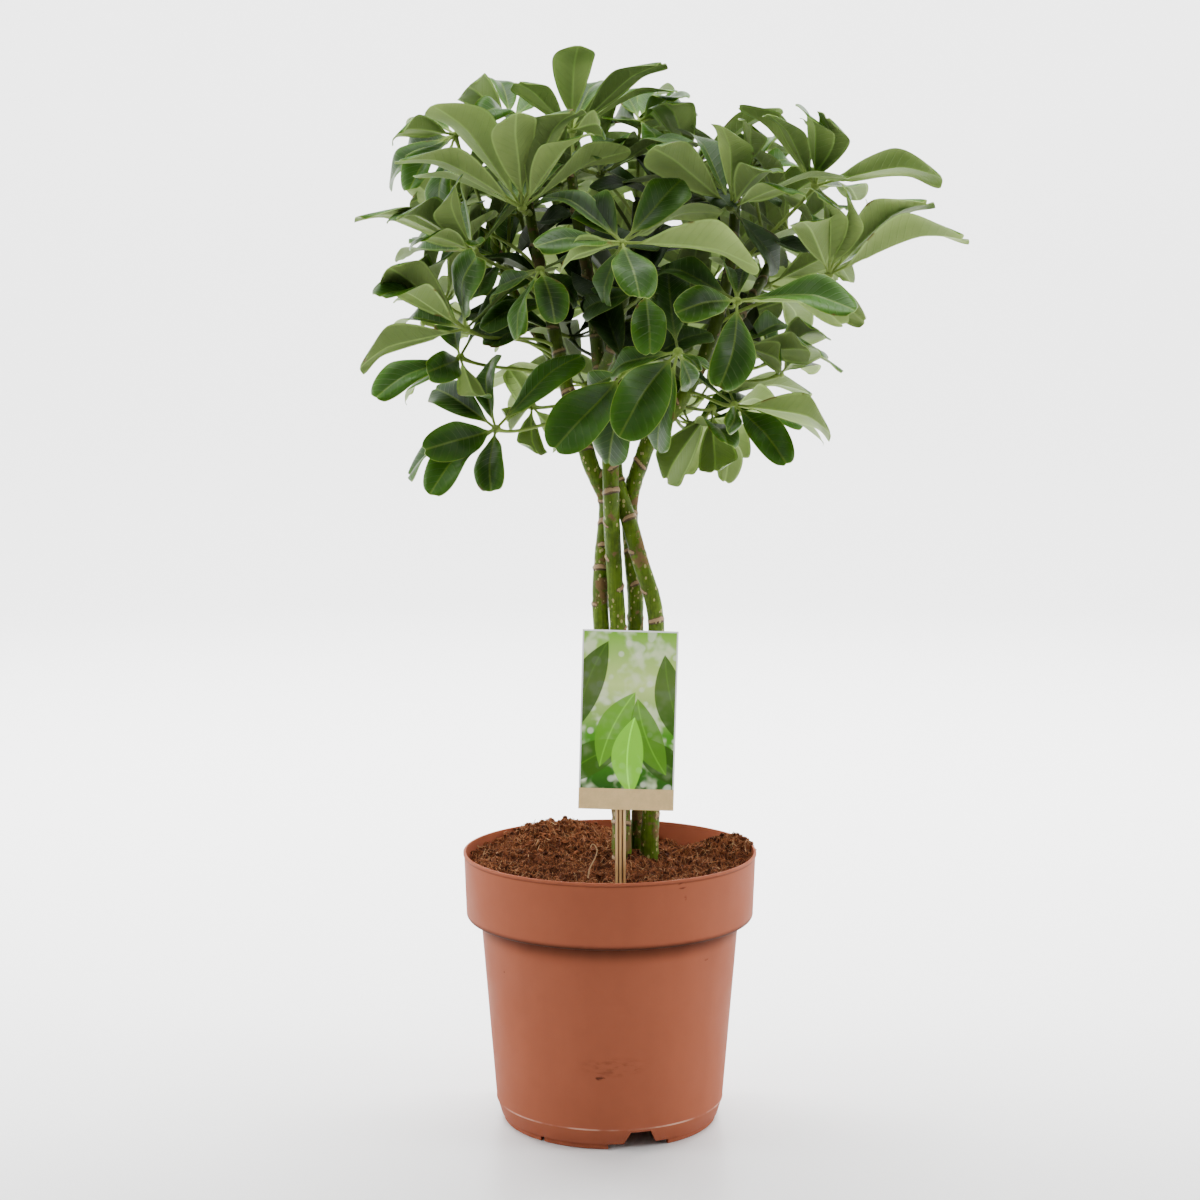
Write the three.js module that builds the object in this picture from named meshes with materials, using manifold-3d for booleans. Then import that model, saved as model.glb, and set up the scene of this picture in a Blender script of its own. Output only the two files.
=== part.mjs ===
// A potted umbrella plant: four braided green stems in a terracotta-coloured plastic pot of coir
// soil, with a round crown of palmate leaves and a plant label on a ribbed stake.
// Millimetres, +Z up, the front of the plant towards -Y, the pot standing on z = 0.

import * as THREE from "three";
import { mergeVertices } from "three/addons/utils/BufferGeometryUtils.js";
import Module from "manifold-3d";

const DEGREE = Math.PI / 180;
const GAP = 0.3; // left between pieces that touch

// ---------------------------------------------------------------- driving dimensions

const POT_HEIGHT = 175;
const POT_RIM_RADIUS = 95;
const POT_WALL = 1.6;
const POT_FLOOR = 2; // thickness
const INNER_ROUND = 1.6; // of the corners inside the wall
const LIP_ROUND = 0.6;
const COLLAR_ROUND = 2.6; // of the collar's lower corner
const COLLAR_FOOT_Z = 132.5;
const COLLAR_FOOT_RADIUS = 92.5;
const BODY_TOP_RADIUS = 83.3;
const BODY_FOOT_RADIUS = 73.6;
const RIDGE_Z = 13.4; // where the body turns in to its chamfered foot
const RIDGE_ROUND = 1;
const WALL_EDGE_Z = 3.6;
const WALL_EDGE_RADIUS = 70.6;
const FOOT_RING_RADIUS = 69;
const FOOT_RING_WIDTH = 2;
const FLOOR_TOP_Z = 11.2;
const POT_SEGMENTS = 30;

const NOTCH_COUNT = 3;
const NOTCH_TURN = 15.5 * DEGREE; // from the front, to the right
const NOTCH_WIDTH_LOW = 21;
const NOTCH_WIDTH_HIGH = 13;
const NOTCH_TOP_Z = 11.7;
const FOOT_GAP_HALF = 16.5 * DEGREE;
const SLOT_TURN = -53.5 * DEGREE; // from the notch to the narrow slot in the foot ring
const SLOT_WIDTH = 3;

const SOIL_LEVEL = 168.5;
const SOIL_EDGE = 2.2; // between the soil's edge and the wall at the rim
const SOIL_HEAPS = [ // [x, y, radius, height]
  [-38, 62, 26, 12], [78, 22, 20, 10], [14, -4, 34, 3], [48, 68, 30, -9], [-70, -10, 30, 2.5],
];
const SOIL_SIDES = 22;
const SOIL_RINGS = 4;

const STEM_FOOT_Z = 172;
const STEM_SWELL = 1; // added to the radius at the soil, and gone SWELL_HEIGHT further up
const SWELL_HEIGHT = 45;
const STEM_RADIUS = 5.2;
const STEM_TIP_RADIUS = 3.1;
const BRANCH_RADIUS = 3.5;
const STALK_RADIUS = 1.3;
const BLADE_THICK = 0.9;
const ROOT_THICK = 1.2;
const ROOT_HALF = 0.75;

const CARD_WIDTH = 58;
const CARD_HEIGHT = 110;
const CARD_THICK = 0.7;
const CARD_TILT = 1.5 * DEGREE;
const CARD_CENTRE = [10.8, -78, 272];
const STAKE_WIDTH = 6.8;
const STAKE_THICK = 2.2;
const STAKE_RIBS = 3;
const STAKE_FOOT_Z = 118;
const STAKE_TOP_Z = 306;
const STAKE_X = 6.2;
const STAKE_BACK_Y = CARD_CENTRE[1] + CARD_THICK / 2 + GAP + STAKE_THICK;

// ---------------------------------------------------------------- the front view

// Leaves are placed in a front view drawn on a square of 1200 units, seen from an eye in front of
// the pot. A place in it is (across, down); with a depth behind the pot's axis it is a point.
const EYE = [-6.3, -1400, 489];
const EYE_PITCH = 6.2 * DEGREE; // downwards
const VIEW_FOCAL = 2208;
const VIEW_MIDDLE = 600;

function sightLine(across, down) {
  const right = (across - VIEW_MIDDLE) / VIEW_FOCAL;
  const up = (VIEW_MIDDLE - down) / VIEW_FOCAL;
  const cos = Math.cos(EYE_PITCH);
  const sin = Math.sin(EYE_PITCH);
  return [right, cos + up * sin, -sin + up * cos];
}

function seenAt(across, down, depth) {
  const line = sightLine(across, down);
  return add(EYE, scale(line, (depth - EYE[1]) / line[1]));
}

// The point of a sight line that lies `reach` from `from`: on the near side, or on the far side
// where `reach` is negative, or the closest point of the line where it passes further off.
function reachTo(from, across, down, reach) {
  const line = unit(sightLine(across, down));
  const toEye = subtract(EYE, from);
  const along = -dot(toEye, line);
  const spare = along * along - dot(toEye, toEye) + reach * reach;
  const half = spare > 0 ? Math.sqrt(spare) : 0;
  return add(EYE, scale(line, reach > 0 ? along - half : along + half));
}

// ---------------------------------------------------------------- vectors and chance

function add(a, b) {
  return [a[0] + b[0], a[1] + b[1], a[2] + b[2]];
}

function subtract(a, b) {
  return [a[0] - b[0], a[1] - b[1], a[2] - b[2]];
}

function scale(a, k) {
  return [a[0] * k, a[1] * k, a[2] * k];
}

function dot(a, b) {
  return a[0] * b[0] + a[1] * b[1] + a[2] * b[2];
}

function cross(a, b) {
  return [a[1] * b[2] - a[2] * b[1], a[2] * b[0] - a[0] * b[2], a[0] * b[1] - a[1] * b[0]];
}

function unit(a) {
  return scale(a, 1 / Math.sqrt(dot(a, a)));
}

const CHANCE_FACTOR = 1664525;
const CHANCE_STEP = 1013904223;
const CHANCE_RANGE = 2 ** 32;
let chanceState = 20261;

// A number from 0 to 1, the same row of them in every run.
function chance() {
  chanceState = (Math.imul(chanceState, CHANCE_FACTOR) + CHANCE_STEP) >>> 0;
  return chanceState / CHANCE_RANGE;
}

// ---------------------------------------------------------------- stems

// Centre lines from the root ball up through the braid and into the crown.
const STEMS = {
  A: [[6, -12, 118], [7.8, -9, 172], [8, -6.5, 200], [8, -3.5, 222], [7, 4, 243], [3, 8, 265],
    [-3, 5, 290], [-5.1, 0, 318], [-6, 1, 338], [-5, 7, 362], [-2.5, 6, 388], [-3, 5, 402],
    [-12, 1, 423], [-17, 0, 440], [-28, -4, 475], [-38, -8, 520], [-46, -10, 560],
    [-52, -8, 592]],
  B: [[4, 10, 118], [7, 7, 172], [6.5, 8, 200], [2, 8.5, 221], [-4.5, 4.5, 238],
    [-4.5, -3, 252], [0.5, -7, 268], [4.5, -6, 290], [5.3, -4.5, 318], [4.2, -4, 338],
    [2.6, -4, 362], [1, -8, 388], [0.5, -13, 405], [0, -13, 423], [-1, -13, 440],
    [-6, -18, 480], [-12, -24, 530], [-20, -24, 575], [-24, -18, 604]],
  C: [[32, -7, 118], [25.8, -5, 172], [26.5, -5, 200], [27, -5, 240], [23.5, -6, 265],
    [18, -2, 290], [16.4, 3.5, 318], [16.2, 4, 338], [14.2, 4.5, 362], [12.7, 7, 388],
    [13.8, 5.5, 405], [19.3, 1, 423], [26, -3, 440], [45, -8, 465], [62, -14, 500],
    [74, -18, 545], [78, -12, 592]],
  D: [[22, 16, 118], [19.5, 12, 172], [19.5, 12, 200], [19, 10.5, 240], [22.5, 8, 265],
    [27.5, 5, 290], [29.4, -3, 318], [27, -7, 338], [19.5, -9, 362], [12.2, -5.5, 388], [6.2, -2, 405],
    [2.5, 2.5, 423], [4, 8, 440], [8, 22, 480], [14, 34, 530], [18, 44, 592]],
};
const BRANCHES = {
  A2: ["A", [[-28, -4, 475], [-46, 22, 505], [-66, 46, 540], [-76, 56, 568]]],
  B2: ["B", [[-6, -18, 480], [4, -40, 505], [10, -60, 535]]],
  C2: ["C", [[62, -14, 500], [86, 10, 522], [106, 36, 556]]],
  D2: ["D", [[8, 22, 480], [4, 52, 512], [-8, 84, 548]]],
};
const CROWN_FOOT_Z = 430; // above this the stems taper
const LOWEST_STALK_Z = 400; // below this no stalk or leaflet comes near a stem

function limbPoints(name) {
  return name in STEMS ? STEMS[name] : BRANCHES[name][1];
}

// The radius of a limb at a point of it: stems taper through the crown, and swell at the soil.
function limbRadius(name, z) {
  const points = limbPoints(name);
  const top = points[points.length - 1][2];
  if (name in BRANCHES) {
    const foot = points[0][2];
    return BRANCH_RADIUS + (STEM_TIP_RADIUS - BRANCH_RADIUS) * (z - foot) / (top - foot);
  }
  if (z > CROWN_FOOT_Z) {
    return STEM_RADIUS + (STEM_TIP_RADIUS - STEM_RADIUS) * (z - CROWN_FOOT_Z) / (top - CROWN_FOOT_Z);
  }
  return STEM_RADIUS + STEM_SWELL * Math.max(0, 1 - (z - STEM_FOOT_Z) / SWELL_HEIGHT);
}

// The point of a limb's centre line at a height, on the straight stretches between its points.
function limbAt(name, height) {
  const points = limbPoints(name);
  let k = 0;
  while (k < points.length - 2 && points[k + 1][2] < height) k++;
  const part = (height - points[k][2]) / (points[k + 1][2] - points[k][2]);
  return add(points[k], scale(subtract(points[k + 1], points[k]), part));
}

// ---------------------------------------------------------------- leaves

// One row for each leaf: the limb and the height that it grows from, its hub in the front view
// with its depth, the direction its face looks, and its leaflets in the front view. A leaflet is
// [across, down, length, seen width]: the length is negative where its tip lies behind the hub,
// and the width where its under face shows. A row with no leaflets gets a full round by rule.
const LEAVES = [
  ["B", 592, [572, 131, -5], [0, 0.1, 1], [[578, 44, 68, -25], [517, 82, 62, -16],
    [515, 89, -62, 6], [664, 62, 80, -14], [604, 80, -62, 14], [602, 127, 55, -18]]],
  ["D", 584, [640, 122, 70], [0.1, 0.2, 1], [[668, 92, -60, 8], [682, 97, 66, -9],
    [612, 95, -60, 14], [680, 130, -65, 12], [605, 125, -62, 13], [655, 155, 66, 14]]],
  ["A", 578, [522, 208, -60], [-0.1, 0.1, 1], [[433, 104, 92, -22], [397, 158, 88, -16],
    [516, 112, 82, -25], [577, 106, 84, -19], [588, 134, 80, -15]]],
  ["A2", 560, [455, 135, 45], [-0.2, 0.1, 1], [[394, 136, 66, -16], [413, 121, -62, 12],
    [388, 185, -70, 14], [401, 163, -66, 12], [409, 190, 70, 14], [440, 222, 68, 14],
    [500, 152, -66, 14]]],
  ["A2", 540, [510, 120, 75], [-0.1, 0.2, 1], [[468, 86, 66, -24], [490, 78, -62, 14],
    [480, 118, 62, 12], [548, 100, -62, 12]]],
  ["A", 532, [474, 251, -35], [-0.35, 0.1, 0.94], [[357, 215, 84, -13], [392, 216, 80, -14],
    [456, 181, 76, -17], [473, 180, -70, 8], [415, 243, 66, -12], [401, 259, -72, 10],
    [479, 243, 34, -7]]],
  ["A", 496, [466, 329, -45], [-0.35, 0, 0.9], [[388, 267, 82, -27], [476, 254, 76, 15],
    [378, 291, 82, -10], [399, 300, -72, 14], [397, 325, -68, 12], [359, 366, 78, -14],
    [487, 335, -54, 14]]],
  ["A", 474, [460, 357, -15], [-0.5, -0.3, 0.8], [[375, 397, 70, 16], [428, 372, 48, 19],
    [406, 399, -64, 11], [481, 398, 58, -16]]],
  ["A", 446, [496, 429, -60], [-0.3, -0.65, 0.7], [[434, 388, -66, 22], [488, 364, -64, 14],
    [424, 450, 66, 22], [430, 494, 72, 19], [491, 491, 58, 17], [406, 475, -66, 9]]],
  ["A", 458, [532, 406, 22], [-0.2, 0.7, 0.6], [[507, 423, 46, -15], [538, 454, 54, -16],
    [512, 368, -50, -15], [545, 372, -48, -13], [562, 442, 54, -16]]],
  ["B2", 530, [622, 243, -112], [0.05, -0.45, 0.9], [[543, 200, -64, 10], [580, 202, -45, 26],
    [640, 296, 58, 25], [536, 250, 66, 12], [560, 265, 58, -12], [679, 178, -66, 25],
    [720, 211, -74, -12], [759, 268, 86, -16], [617, 300, -48, 10]]],
  ["B", 512, [540, 270, -82], [-0.2, -0.5, 0.8], [[555, 323, 58, 20], [517, 338, 60, 6],
    [497, 296, -56, 12], [577, 303, -48, 12]]],
  ["B2", 512, [645, 290, -98], [0.1, -0.6, 0.75], [[650, 355, 58, 20], [600, 332, -56, 14],
    [680, 335, -52, 12]]],
  ["C", 580, [731, 208, -45], [0, 0.1, 1], [[655, 149, 82, -27], [722, 126, 76, -22],
    [682, 129, -78, 14], [775, 170, 68, -17], [802, 193, 70, -10], [765, 270, -62, 13],
    [731, 170, 26, -6], [758, 178, 28, -6]]],
  ["C2", 548, [752, 168, 42], [0.1, 0.1, 1], [[748, 122, 62, -16], [795, 168, -60, 12],
    [772, 140, -58, 12], [712, 150, -62, 12]]],
  ["C", 532, [815, 186, -20], [0.5, 0.1, 0.86], [[762, 130, 74, -8], [783, 119, 76, -12],
    [820, 124, 72, -18], [806, 121, -66, 8], [935, 168, 84, -17]]],
  ["C", 508, [829, 275, -35], [0.55, 0, 0.8], [[815, 188, 76, -13], [845, 187, 76, -13],
    [931, 199, 86, -18], [968, 236, 94, -10], [803, 220, 62, -26], [868, 205, -74, 8]]],
  ["C", 520, [737, 301, -108], [0.2, -0.5, 0.85], [[657, 268, -62, 14], [677, 312, 54, 20],
    [720, 388, 62, 25], [717, 262, -48, 6], [748, 262, -54, 14], [855, 310, 82, 15],
    [846, 322, -78, -12]]],
  ["C", 494, [740, 345, 15], [0.5, -0.1, 0.85], [[788, 325, -58, 14], [810, 350, 66, -20],
    [783, 367, 56, -15]]],
  ["C", 468, [735, 405, -30], [0.5, -0.25, 0.8], [[832, 432, 78, -18], [822, 441, -76, 10],
    [787, 463, 64, 21], [728, 431, 36, 10], [772, 405, -56, -14]]],
  ["C", 456, [712, 408, 30], [0.15, 0.75, 0.6], [[715, 473, 56, -25], [742, 458, -58, -18],
    [727, 482, -62, -14], [664, 482, 68, -25], [684, 474, -62, -18]]],
  ["C", 484, [678, 352, -112], [0, -0.75, 0.65], [[620, 436, 68, 30], [612, 374, -54, 13],
    [690, 390, -42, 12], [657, 452, -68, 20], [700, 370, 26, 4], [716, 376, -32, 4]]],
  ["B", 474, [625, 372, -86], [-0.2, -0.7, 0.65], [[553, 450, 70, 31], [608, 466, -64, 23],
    [575, 395, -50, 14]]],
  ["D", 566, [600, 175, 15], [-0.05, -0.2, 1], []],
  ["D", 548, [672, 205, 10], [0.2, -0.2, 1], []],
  ["A2", 550, [505, 195, 100], [-0.5, 0.5, 0.7], []],
  ["D", 575, [598, 165, 115], [-0.1, 0.5, 0.85], []],
  ["D", 560, [688, 190, 118], [0.25, 0.5, 0.8], []],
  ["C2", 540, [752, 232, 112], [0.5, 0.5, 0.7], []],
  ["C2", 526, [768, 285, 88], [0.6, 0.5, 0.6], []],
  ["D2", 545, [560, 235, 135], [-0.4, 0.75, 0.6], []],
  ["D2", 536, [640, 225, 155], [0.1, 0.8, 0.6], []],
  ["C2", 512, [712, 280, 140], [0.4, 0.8, 0.5], []],
  ["D2", 520, [606, 305, 142], [-0.1, 0.9, 0.45], []],
  ["D2", 502, [678, 350, 124], [0.2, 0.9, 0.4], []],
  ["D", 488, [640, 395, 98], [0, 0.9, 0.45], []],
];

const ARCH = 0.07; // rise of a leaflet's widest part over its ends, of its length
const WIDEST = 0.68; // share of a leaflet's length where it is widest and highest
const FOLD = 0.3; // rise of a half blade towards its edge, of its width
const SEEN_TO_TRUE = 1.03; // a leaflet's width over its seen width, face on
const SHANK = 0.14; // bare stretch of a leaflet at its root, of its length
const SLIMMEST = 0.34; // width of the slimmest leaflet, of its length
const ROUND_OF_LEAFLETS = 6;
const CROWN_CENTRE = [22, 20, 545];
const CROWN_HALF = [172, 205, 128];
const WIDEST_GAP = 95 * DEGREE;
const LEAFLET_STEP = 56 * DEGREE;

// Half the width of an egg-shaped leaflet at a share of its length, of its greatest half width:
// a near-straight wedge from the bare shank, widest at two thirds, with a round end.
function outline(share) {
  const q = Math.min(Math.max((share - SHANK) / (1 - SHANK), 0), 1);
  return Math.pow(q, 0.9) * Math.pow(1 - q, 0.45) / 0.4235;
}

// How high a leaflet's rib rises over the straight line from its root to its tip, in a curve
// with its top where the blade is widest.
function ribRise(leaflet, share) {
  const away = share < WIDEST ? (WIDEST - share) / WIDEST : (share - WIDEST) / (1 - WIDEST);
  return ARCH * leaflet.length * (1 - Math.pow(away, 1.4));
}

// Two directions square to a leaf's axis, for turning round it.
function acrossAxis(axis) {
  const first = unit(cross(axis, [0.31, 0.95, 0.05]));
  return [first, cross(axis, first)];
}

function leafletAlong(leaf, turn, lift, length, width) {
  const [first, second] = acrossAxis(leaf.axis);
  const flat = add(scale(first, Math.cos(turn)), scale(second, Math.sin(turn)));
  const way = unit(add(scale(flat, Math.sqrt(1 - lift * lift)), scale(leaf.axis, lift)));
  return { leaf, way, length, width, lean: leaf.axis };
}

// A leaflet of the front view. It is rolled about its rib so far that its true width is seen as
// the width given, from the side given, and to the side that faces the leaf's axis more.
function leafletSeen(leaf, [across, down, reach, seenWidth]) {
  const tip = reachTo(leaf.hub, across, down, reach);
  const chord = subtract(tip, leaf.hub);
  const length = Math.sqrt(dot(chord, chord));
  const way = unit(chord);
  const width = Math.max(Math.abs(seenWidth) * SEEN_TO_TRUE, SLIMMEST * length);
  const toEye = unit(subtract(EYE, leaf.hub));
  const facing = unit(subtract(toEye, scale(way, dot(toEye, way))));
  const edgeOn = cross(way, facing);
  const share = seenWidth / width;
  const turned = scale(edgeOn, Math.sqrt(1 - share * share));
  const ahead = scale(facing, share);
  const lean = dot(turned, leaf.axis) > 0 ? add(ahead, turned) : subtract(ahead, turned);
  return { leaf, way, length, width, lean };
}

// Whether a leaflet made by rule stays inside the round crown that the front view shows.
function insideCrown(leaflet) {
  const tip = subtract(add(leaflet.leaf.hub, scale(leaflet.way, leaflet.length)), CROWN_CENTRE);
  const [x, y, z] = tip.map((value, k) => value / CROWN_HALF[k]);
  return x * x + y * y + z * z < 1;
}

// Fills each wide gap in a leaf's round of leaflets, on the side away from the front.
function fillRound(leaf, leaflets) {
  const [first, second] = acrossAxis(leaf.axis);
  const turns = leaflets.map((l) => Math.atan2(dot(l.way, second), dot(l.way, first)));
  turns.sort((a, b) => a - b);
  const count = turns.length;
  const lifts = leaflets.reduce((sum, l) => sum + dot(l.way, leaf.axis), 0) / count;
  const lift = Math.min(Math.max(lifts, -0.1), 0.4);
  for (let k = 0; k < count; k++) {
    const next = k + 1 < count ? turns[k + 1] : turns[0] + 2 * Math.PI;
    const gap = next - turns[k];
    if (gap < WIDEST_GAP) continue;
    const missing = Math.round(gap / LEAFLET_STEP) - 1;
    for (let m = 1; m <= missing; m++) {
      const turn = turns[k] + gap * m / (missing + 1);
      const more = leafletAlong(leaf, turn, lift, 66 + 10 * chance(), 22 + 5 * chance());
      if (more.way[1] > 0 && insideCrown(more)) leaflets.push(more);
    }
  }
}

// Every leaf with its hub, axis, stalk and leaflets, before anything is bent clear.
function growLeaves() {
  return LEAVES.map(([limb, height, hubSeen, axis, seen]) => {
    const leaf = { limb, hub: seenAt(...hubSeen), axis: unit(axis) };
    leaf.foot = limbAt(limb, height);
    leaf.leaflets = seen.map((row) => leafletSeen(leaf, row));
    if (seen.length) {
      fillRound(leaf, leaf.leaflets);
    } else {
      const start = 2 * Math.PI * chance();
      for (let k = 0; k < ROUND_OF_LEAFLETS; k++) {
        const turn = start + 2 * Math.PI * (k + 0.3 * chance()) / ROUND_OF_LEAFLETS;
        const lift = 0.05 + 0.3 * chance();
        const next = leafletAlong(leaf, turn, lift, 66 + 14 * chance(), 23 + 6 * chance());
        if (insideCrown(next)) leaf.leaflets.push(next);
      }
    }
    leaf.bends = stalkBends(leaf);
    return leaf;
  });
}

// The two middle control points of a leaf's stalk: it leaves the limb outwards and a little up,
// and comes to the hub along the leaf's axis.
function stalkBends(leaf) {
  const chord = subtract(leaf.hub, leaf.foot);
  const length = Math.sqrt(dot(chord, chord));
  const leave = unit(add(unit(chord), [0, 0, 0.5]));
  const arrive = unit(add(scale(unit(chord), 0.9), scale(leaf.axis, 0.5)));
  return [add(leaf.foot, scale(leave, length * 0.33)), subtract(leaf.hub, scale(arrive, length * 0.33))];
}

function stalkPoint(leaf, t) {
  const s = 1 - t;
  const ends = add(scale(leaf.foot, s * s * s), scale(leaf.hub, t * t * t));
  const middle = add(scale(leaf.bends[0], 3 * s * s * t), scale(leaf.bends[1], 3 * s * t * t));
  return add(ends, middle);
}

// ---------------------------------------------------------------- bending clear

const STALK_SAMPLES = 9;
const STALK_CLEAR = 3.6; // between the centre lines of two stalks
const STALK_ROUNDS = 30;
const ROOTED_SAMPLES = 3; // of a stalk's samples, too near its own limb to be bent off it
const FROM_STALK = 0.4; // share of a clash that one round mends
const FROM_LIMB = 0.5;
const LIMB_STEP = 7;

// Points down the middle of every limb in the crown, with the limb's name and radius there.
function limbSamples() {
  const samples = [];
  for (const name of [...Object.keys(STEMS), ...Object.keys(BRANCHES)]) {
    const points = limbPoints(name);
    const top = points[points.length - 1][2];
    const foot = Math.max(points[0][2], LOWEST_STALK_Z);
    const steps = Math.ceil((top - foot) / LIMB_STEP);
    for (let k = 0; k <= steps; k++) {
      const z = foot + (top - foot) * k / steps;
      samples.push({ name, at: limbAt(name, z), radius: limbRadius(name, z) });
    }
  }
  return samples;
}

// How far `at` has to move to lie `clear` from `other`, times a share.
function pushApart(at, other, clear, share) {
  const apart = subtract(at, other);
  const far = Math.sqrt(dot(apart, apart));
  return far < clear ? scale(apart, share * (clear - far) / (far + 0.01)) : null;
}

// Moves the middles of stalks that come too close to another stalk or to a limb.
function bendStalksApart(leaves, limbs) {
  for (let round = 0; round < STALK_ROUNDS; round++) {
    const points = leaves.map((leaf) => {
      const row = [];
      for (let k = 1; k <= STALK_SAMPLES; k++) row.push(stalkPoint(leaf, k / (STALK_SAMPLES + 1)));
      return row;
    });
    const moves = leaves.map((leaf, i) => {
      const pushes = [];
      points[i].forEach((at, k) => {
        points.forEach((row, j) => {
          if (j === i) return;
          for (const other of row) pushes.push(pushApart(at, other, STALK_CLEAR, FROM_STALK));
        });
        for (const limb of limbs) {
          if (limb.name[0] === leaf.limb[0] && k < ROOTED_SAMPLES) continue;
          const clear = limb.radius + STALK_CLEAR - STALK_RADIUS;
          pushes.push(pushApart(at, limb.at, clear, FROM_LIMB));
        }
      });
      return pushes.filter((push) => push).reduce(add, [0, 0, 0]);
    });
    leaves.forEach((leaf, i) => {
      leaf.bends = leaf.bends.map((bend) => add(bend, moves[i]));
    });
  }
}

const BLADE_SAMPLES = [[0.35, -0.8], [0.35, 0], [0.35, 0.8], [0.55, -0.8], [0.55, 0], [0.55, 0.8],
  [0.75, -0.8], [0.75, 0], [0.75, 0.8], [0.95, -0.8], [0.95, 0], [0.95, 0.8]];
const KIN_SAMPLES = 6; // the outer ones, which leaflets of one leaf are tested by
const BLADE_CLEAR = 2.2; // between the middles of two blades
const STALK_PLACES = 12; // of a stalk that blades are kept clear of
const STALK_SPARE = 0.6; // added to BLADE_CLEAR for a stalk
const LIMB_SPARE = 1.2; // added to a limb's radius
const LIMB_GROUP = 3; // steps of a limb that are tested together
const BLADE_ROUNDS = 60;
const EDGE_CLEAR = 1.2;
const NEAR_BLADE = 14; // further off its face than this, a point doesn't trouble a blade
const PAIR_REACH = 88; // between the middle of a blade and of what could cross it
const LARGEST_TURN = 0.06;
const SIDEWAYS = 0.6; // share of a turn that is kept across and up the front view
const FROM_BLADE = 0.4; // share of a clash that one round mends, for each of two blades
const FROM_FIXED = 0.6; // the same for a stalk or a limb, which stays
const PAST_TIP = 1.03; // share of a leaflet's length past which nothing meets it
const NEAR_TIP = 0.97; // share from which its outline counts as no narrower

// The way along a leaflet, across it, and out of its upper face.
function leafletFrame(leaflet) {
  const { way, lean } = leaflet;
  const face = unit(subtract(lean, scale(way, dot(lean, way))));
  return { way, face, side: cross(face, way) };
}

// A point of a leaflet's middle surface: a share of its length, and of its half width at that
// share. The rib arches up from root to tip, and each half blade rises to its edge.
function bladePoint(leaflet, frame, share, across) {
  const wide = across * outline(share) * leaflet.width / 2;
  const rise = ribRise(leaflet, share) + FOLD * Math.abs(wide);
  const along = add(leaflet.leaf.hub, scale(frame.way, leaflet.length * share));
  return add(along, add(scale(frame.side, wide), scale(frame.face, rise)));
}

// What a row of points does to a blade: how far they would have to move, and which way, to lie
// all on one side of it or all past its edge, whichever is less.
function clash(leaflet, frame, row, clear) {
  let heights = 0;
  let sides = 0;
  const inside = [];
  for (const [index, at] of row.entries()) {
    const from = subtract(at, leaflet.leaf.hub);
    const share = dot(from, frame.way) / leaflet.length;
    if (share < SHANK || share > PAST_TIP) continue;
    const across = dot(from, frame.side);
    const half = outline(Math.min(share, NEAR_TIP)) * leaflet.width / 2 + EDGE_CLEAR;
    if (Math.abs(across) > half) continue;
    const rise = ribRise(leaflet, share) + FOLD * Math.abs(across);
    const height = dot(from, frame.face) - rise;
    if (Math.abs(height) > NEAR_BLADE) continue;
    heights += height;
    sides += across;
    inside.push([index, share, across, half, height]);
  }
  if (!inside.length) return null;
  const above = heights >= 0 ? 1 : -1;
  const right = sides >= 0 ? 1 : -1;
  let lift = { need: 0 };
  let slide = { need: -1 };
  for (const [index, share, across, half, height] of inside) {
    const liftNeed = clear - above * height;
    const slideNeed = half - right * across;
    if (liftNeed > lift.need) lift = { need: liftNeed, index, share };
    if (slideNeed > slide.need) slide = { need: slideNeed, index, share };
  }
  if (lift.need === 0) return null;
  if (slide.need < lift.need) return { ...slide, push: scale(frame.side, right * slide.need) };
  return { ...lift, push: scale(frame.face, above * lift.need) };
}

// Rows of points that blades are kept clear of: down each stalk, and down each stretch of a limb.
function fixedRows(leaves, limbs) {
  const rows = leaves.map((leaf) => {
    const row = [];
    for (let k = 1; k <= STALK_PLACES; k++) row.push(stalkPoint(leaf, k / (STALK_PLACES + 1)));
    return { leaf, row, clear: BLADE_CLEAR + STALK_SPARE };
  });
  for (let k = 0; k + LIMB_GROUP < limbs.length; k += LIMB_GROUP) {
    const group = limbs.slice(k, k + LIMB_GROUP + 1).filter((limb) => limb.name === limbs[k].name);
    rows.push({ row: group.map((limb) => limb.at), clear: limbs[k].radius + LIMB_SPARE });
  }
  return rows;
}

// Every pair of a blade and something in `places` that is near enough to be tested.
function nearPairs(middles, places, wanted) {
  const pairs = [];
  middles.forEach((middle, j) => {
    places.forEach((place, i) => {
      const apart = subtract(place, middle);
      if (wanted(i, j) && dot(apart, apart) < PAIR_REACH * PAIR_REACH) pairs.push([j, i]);
    });
  });
  return pairs;
}

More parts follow.
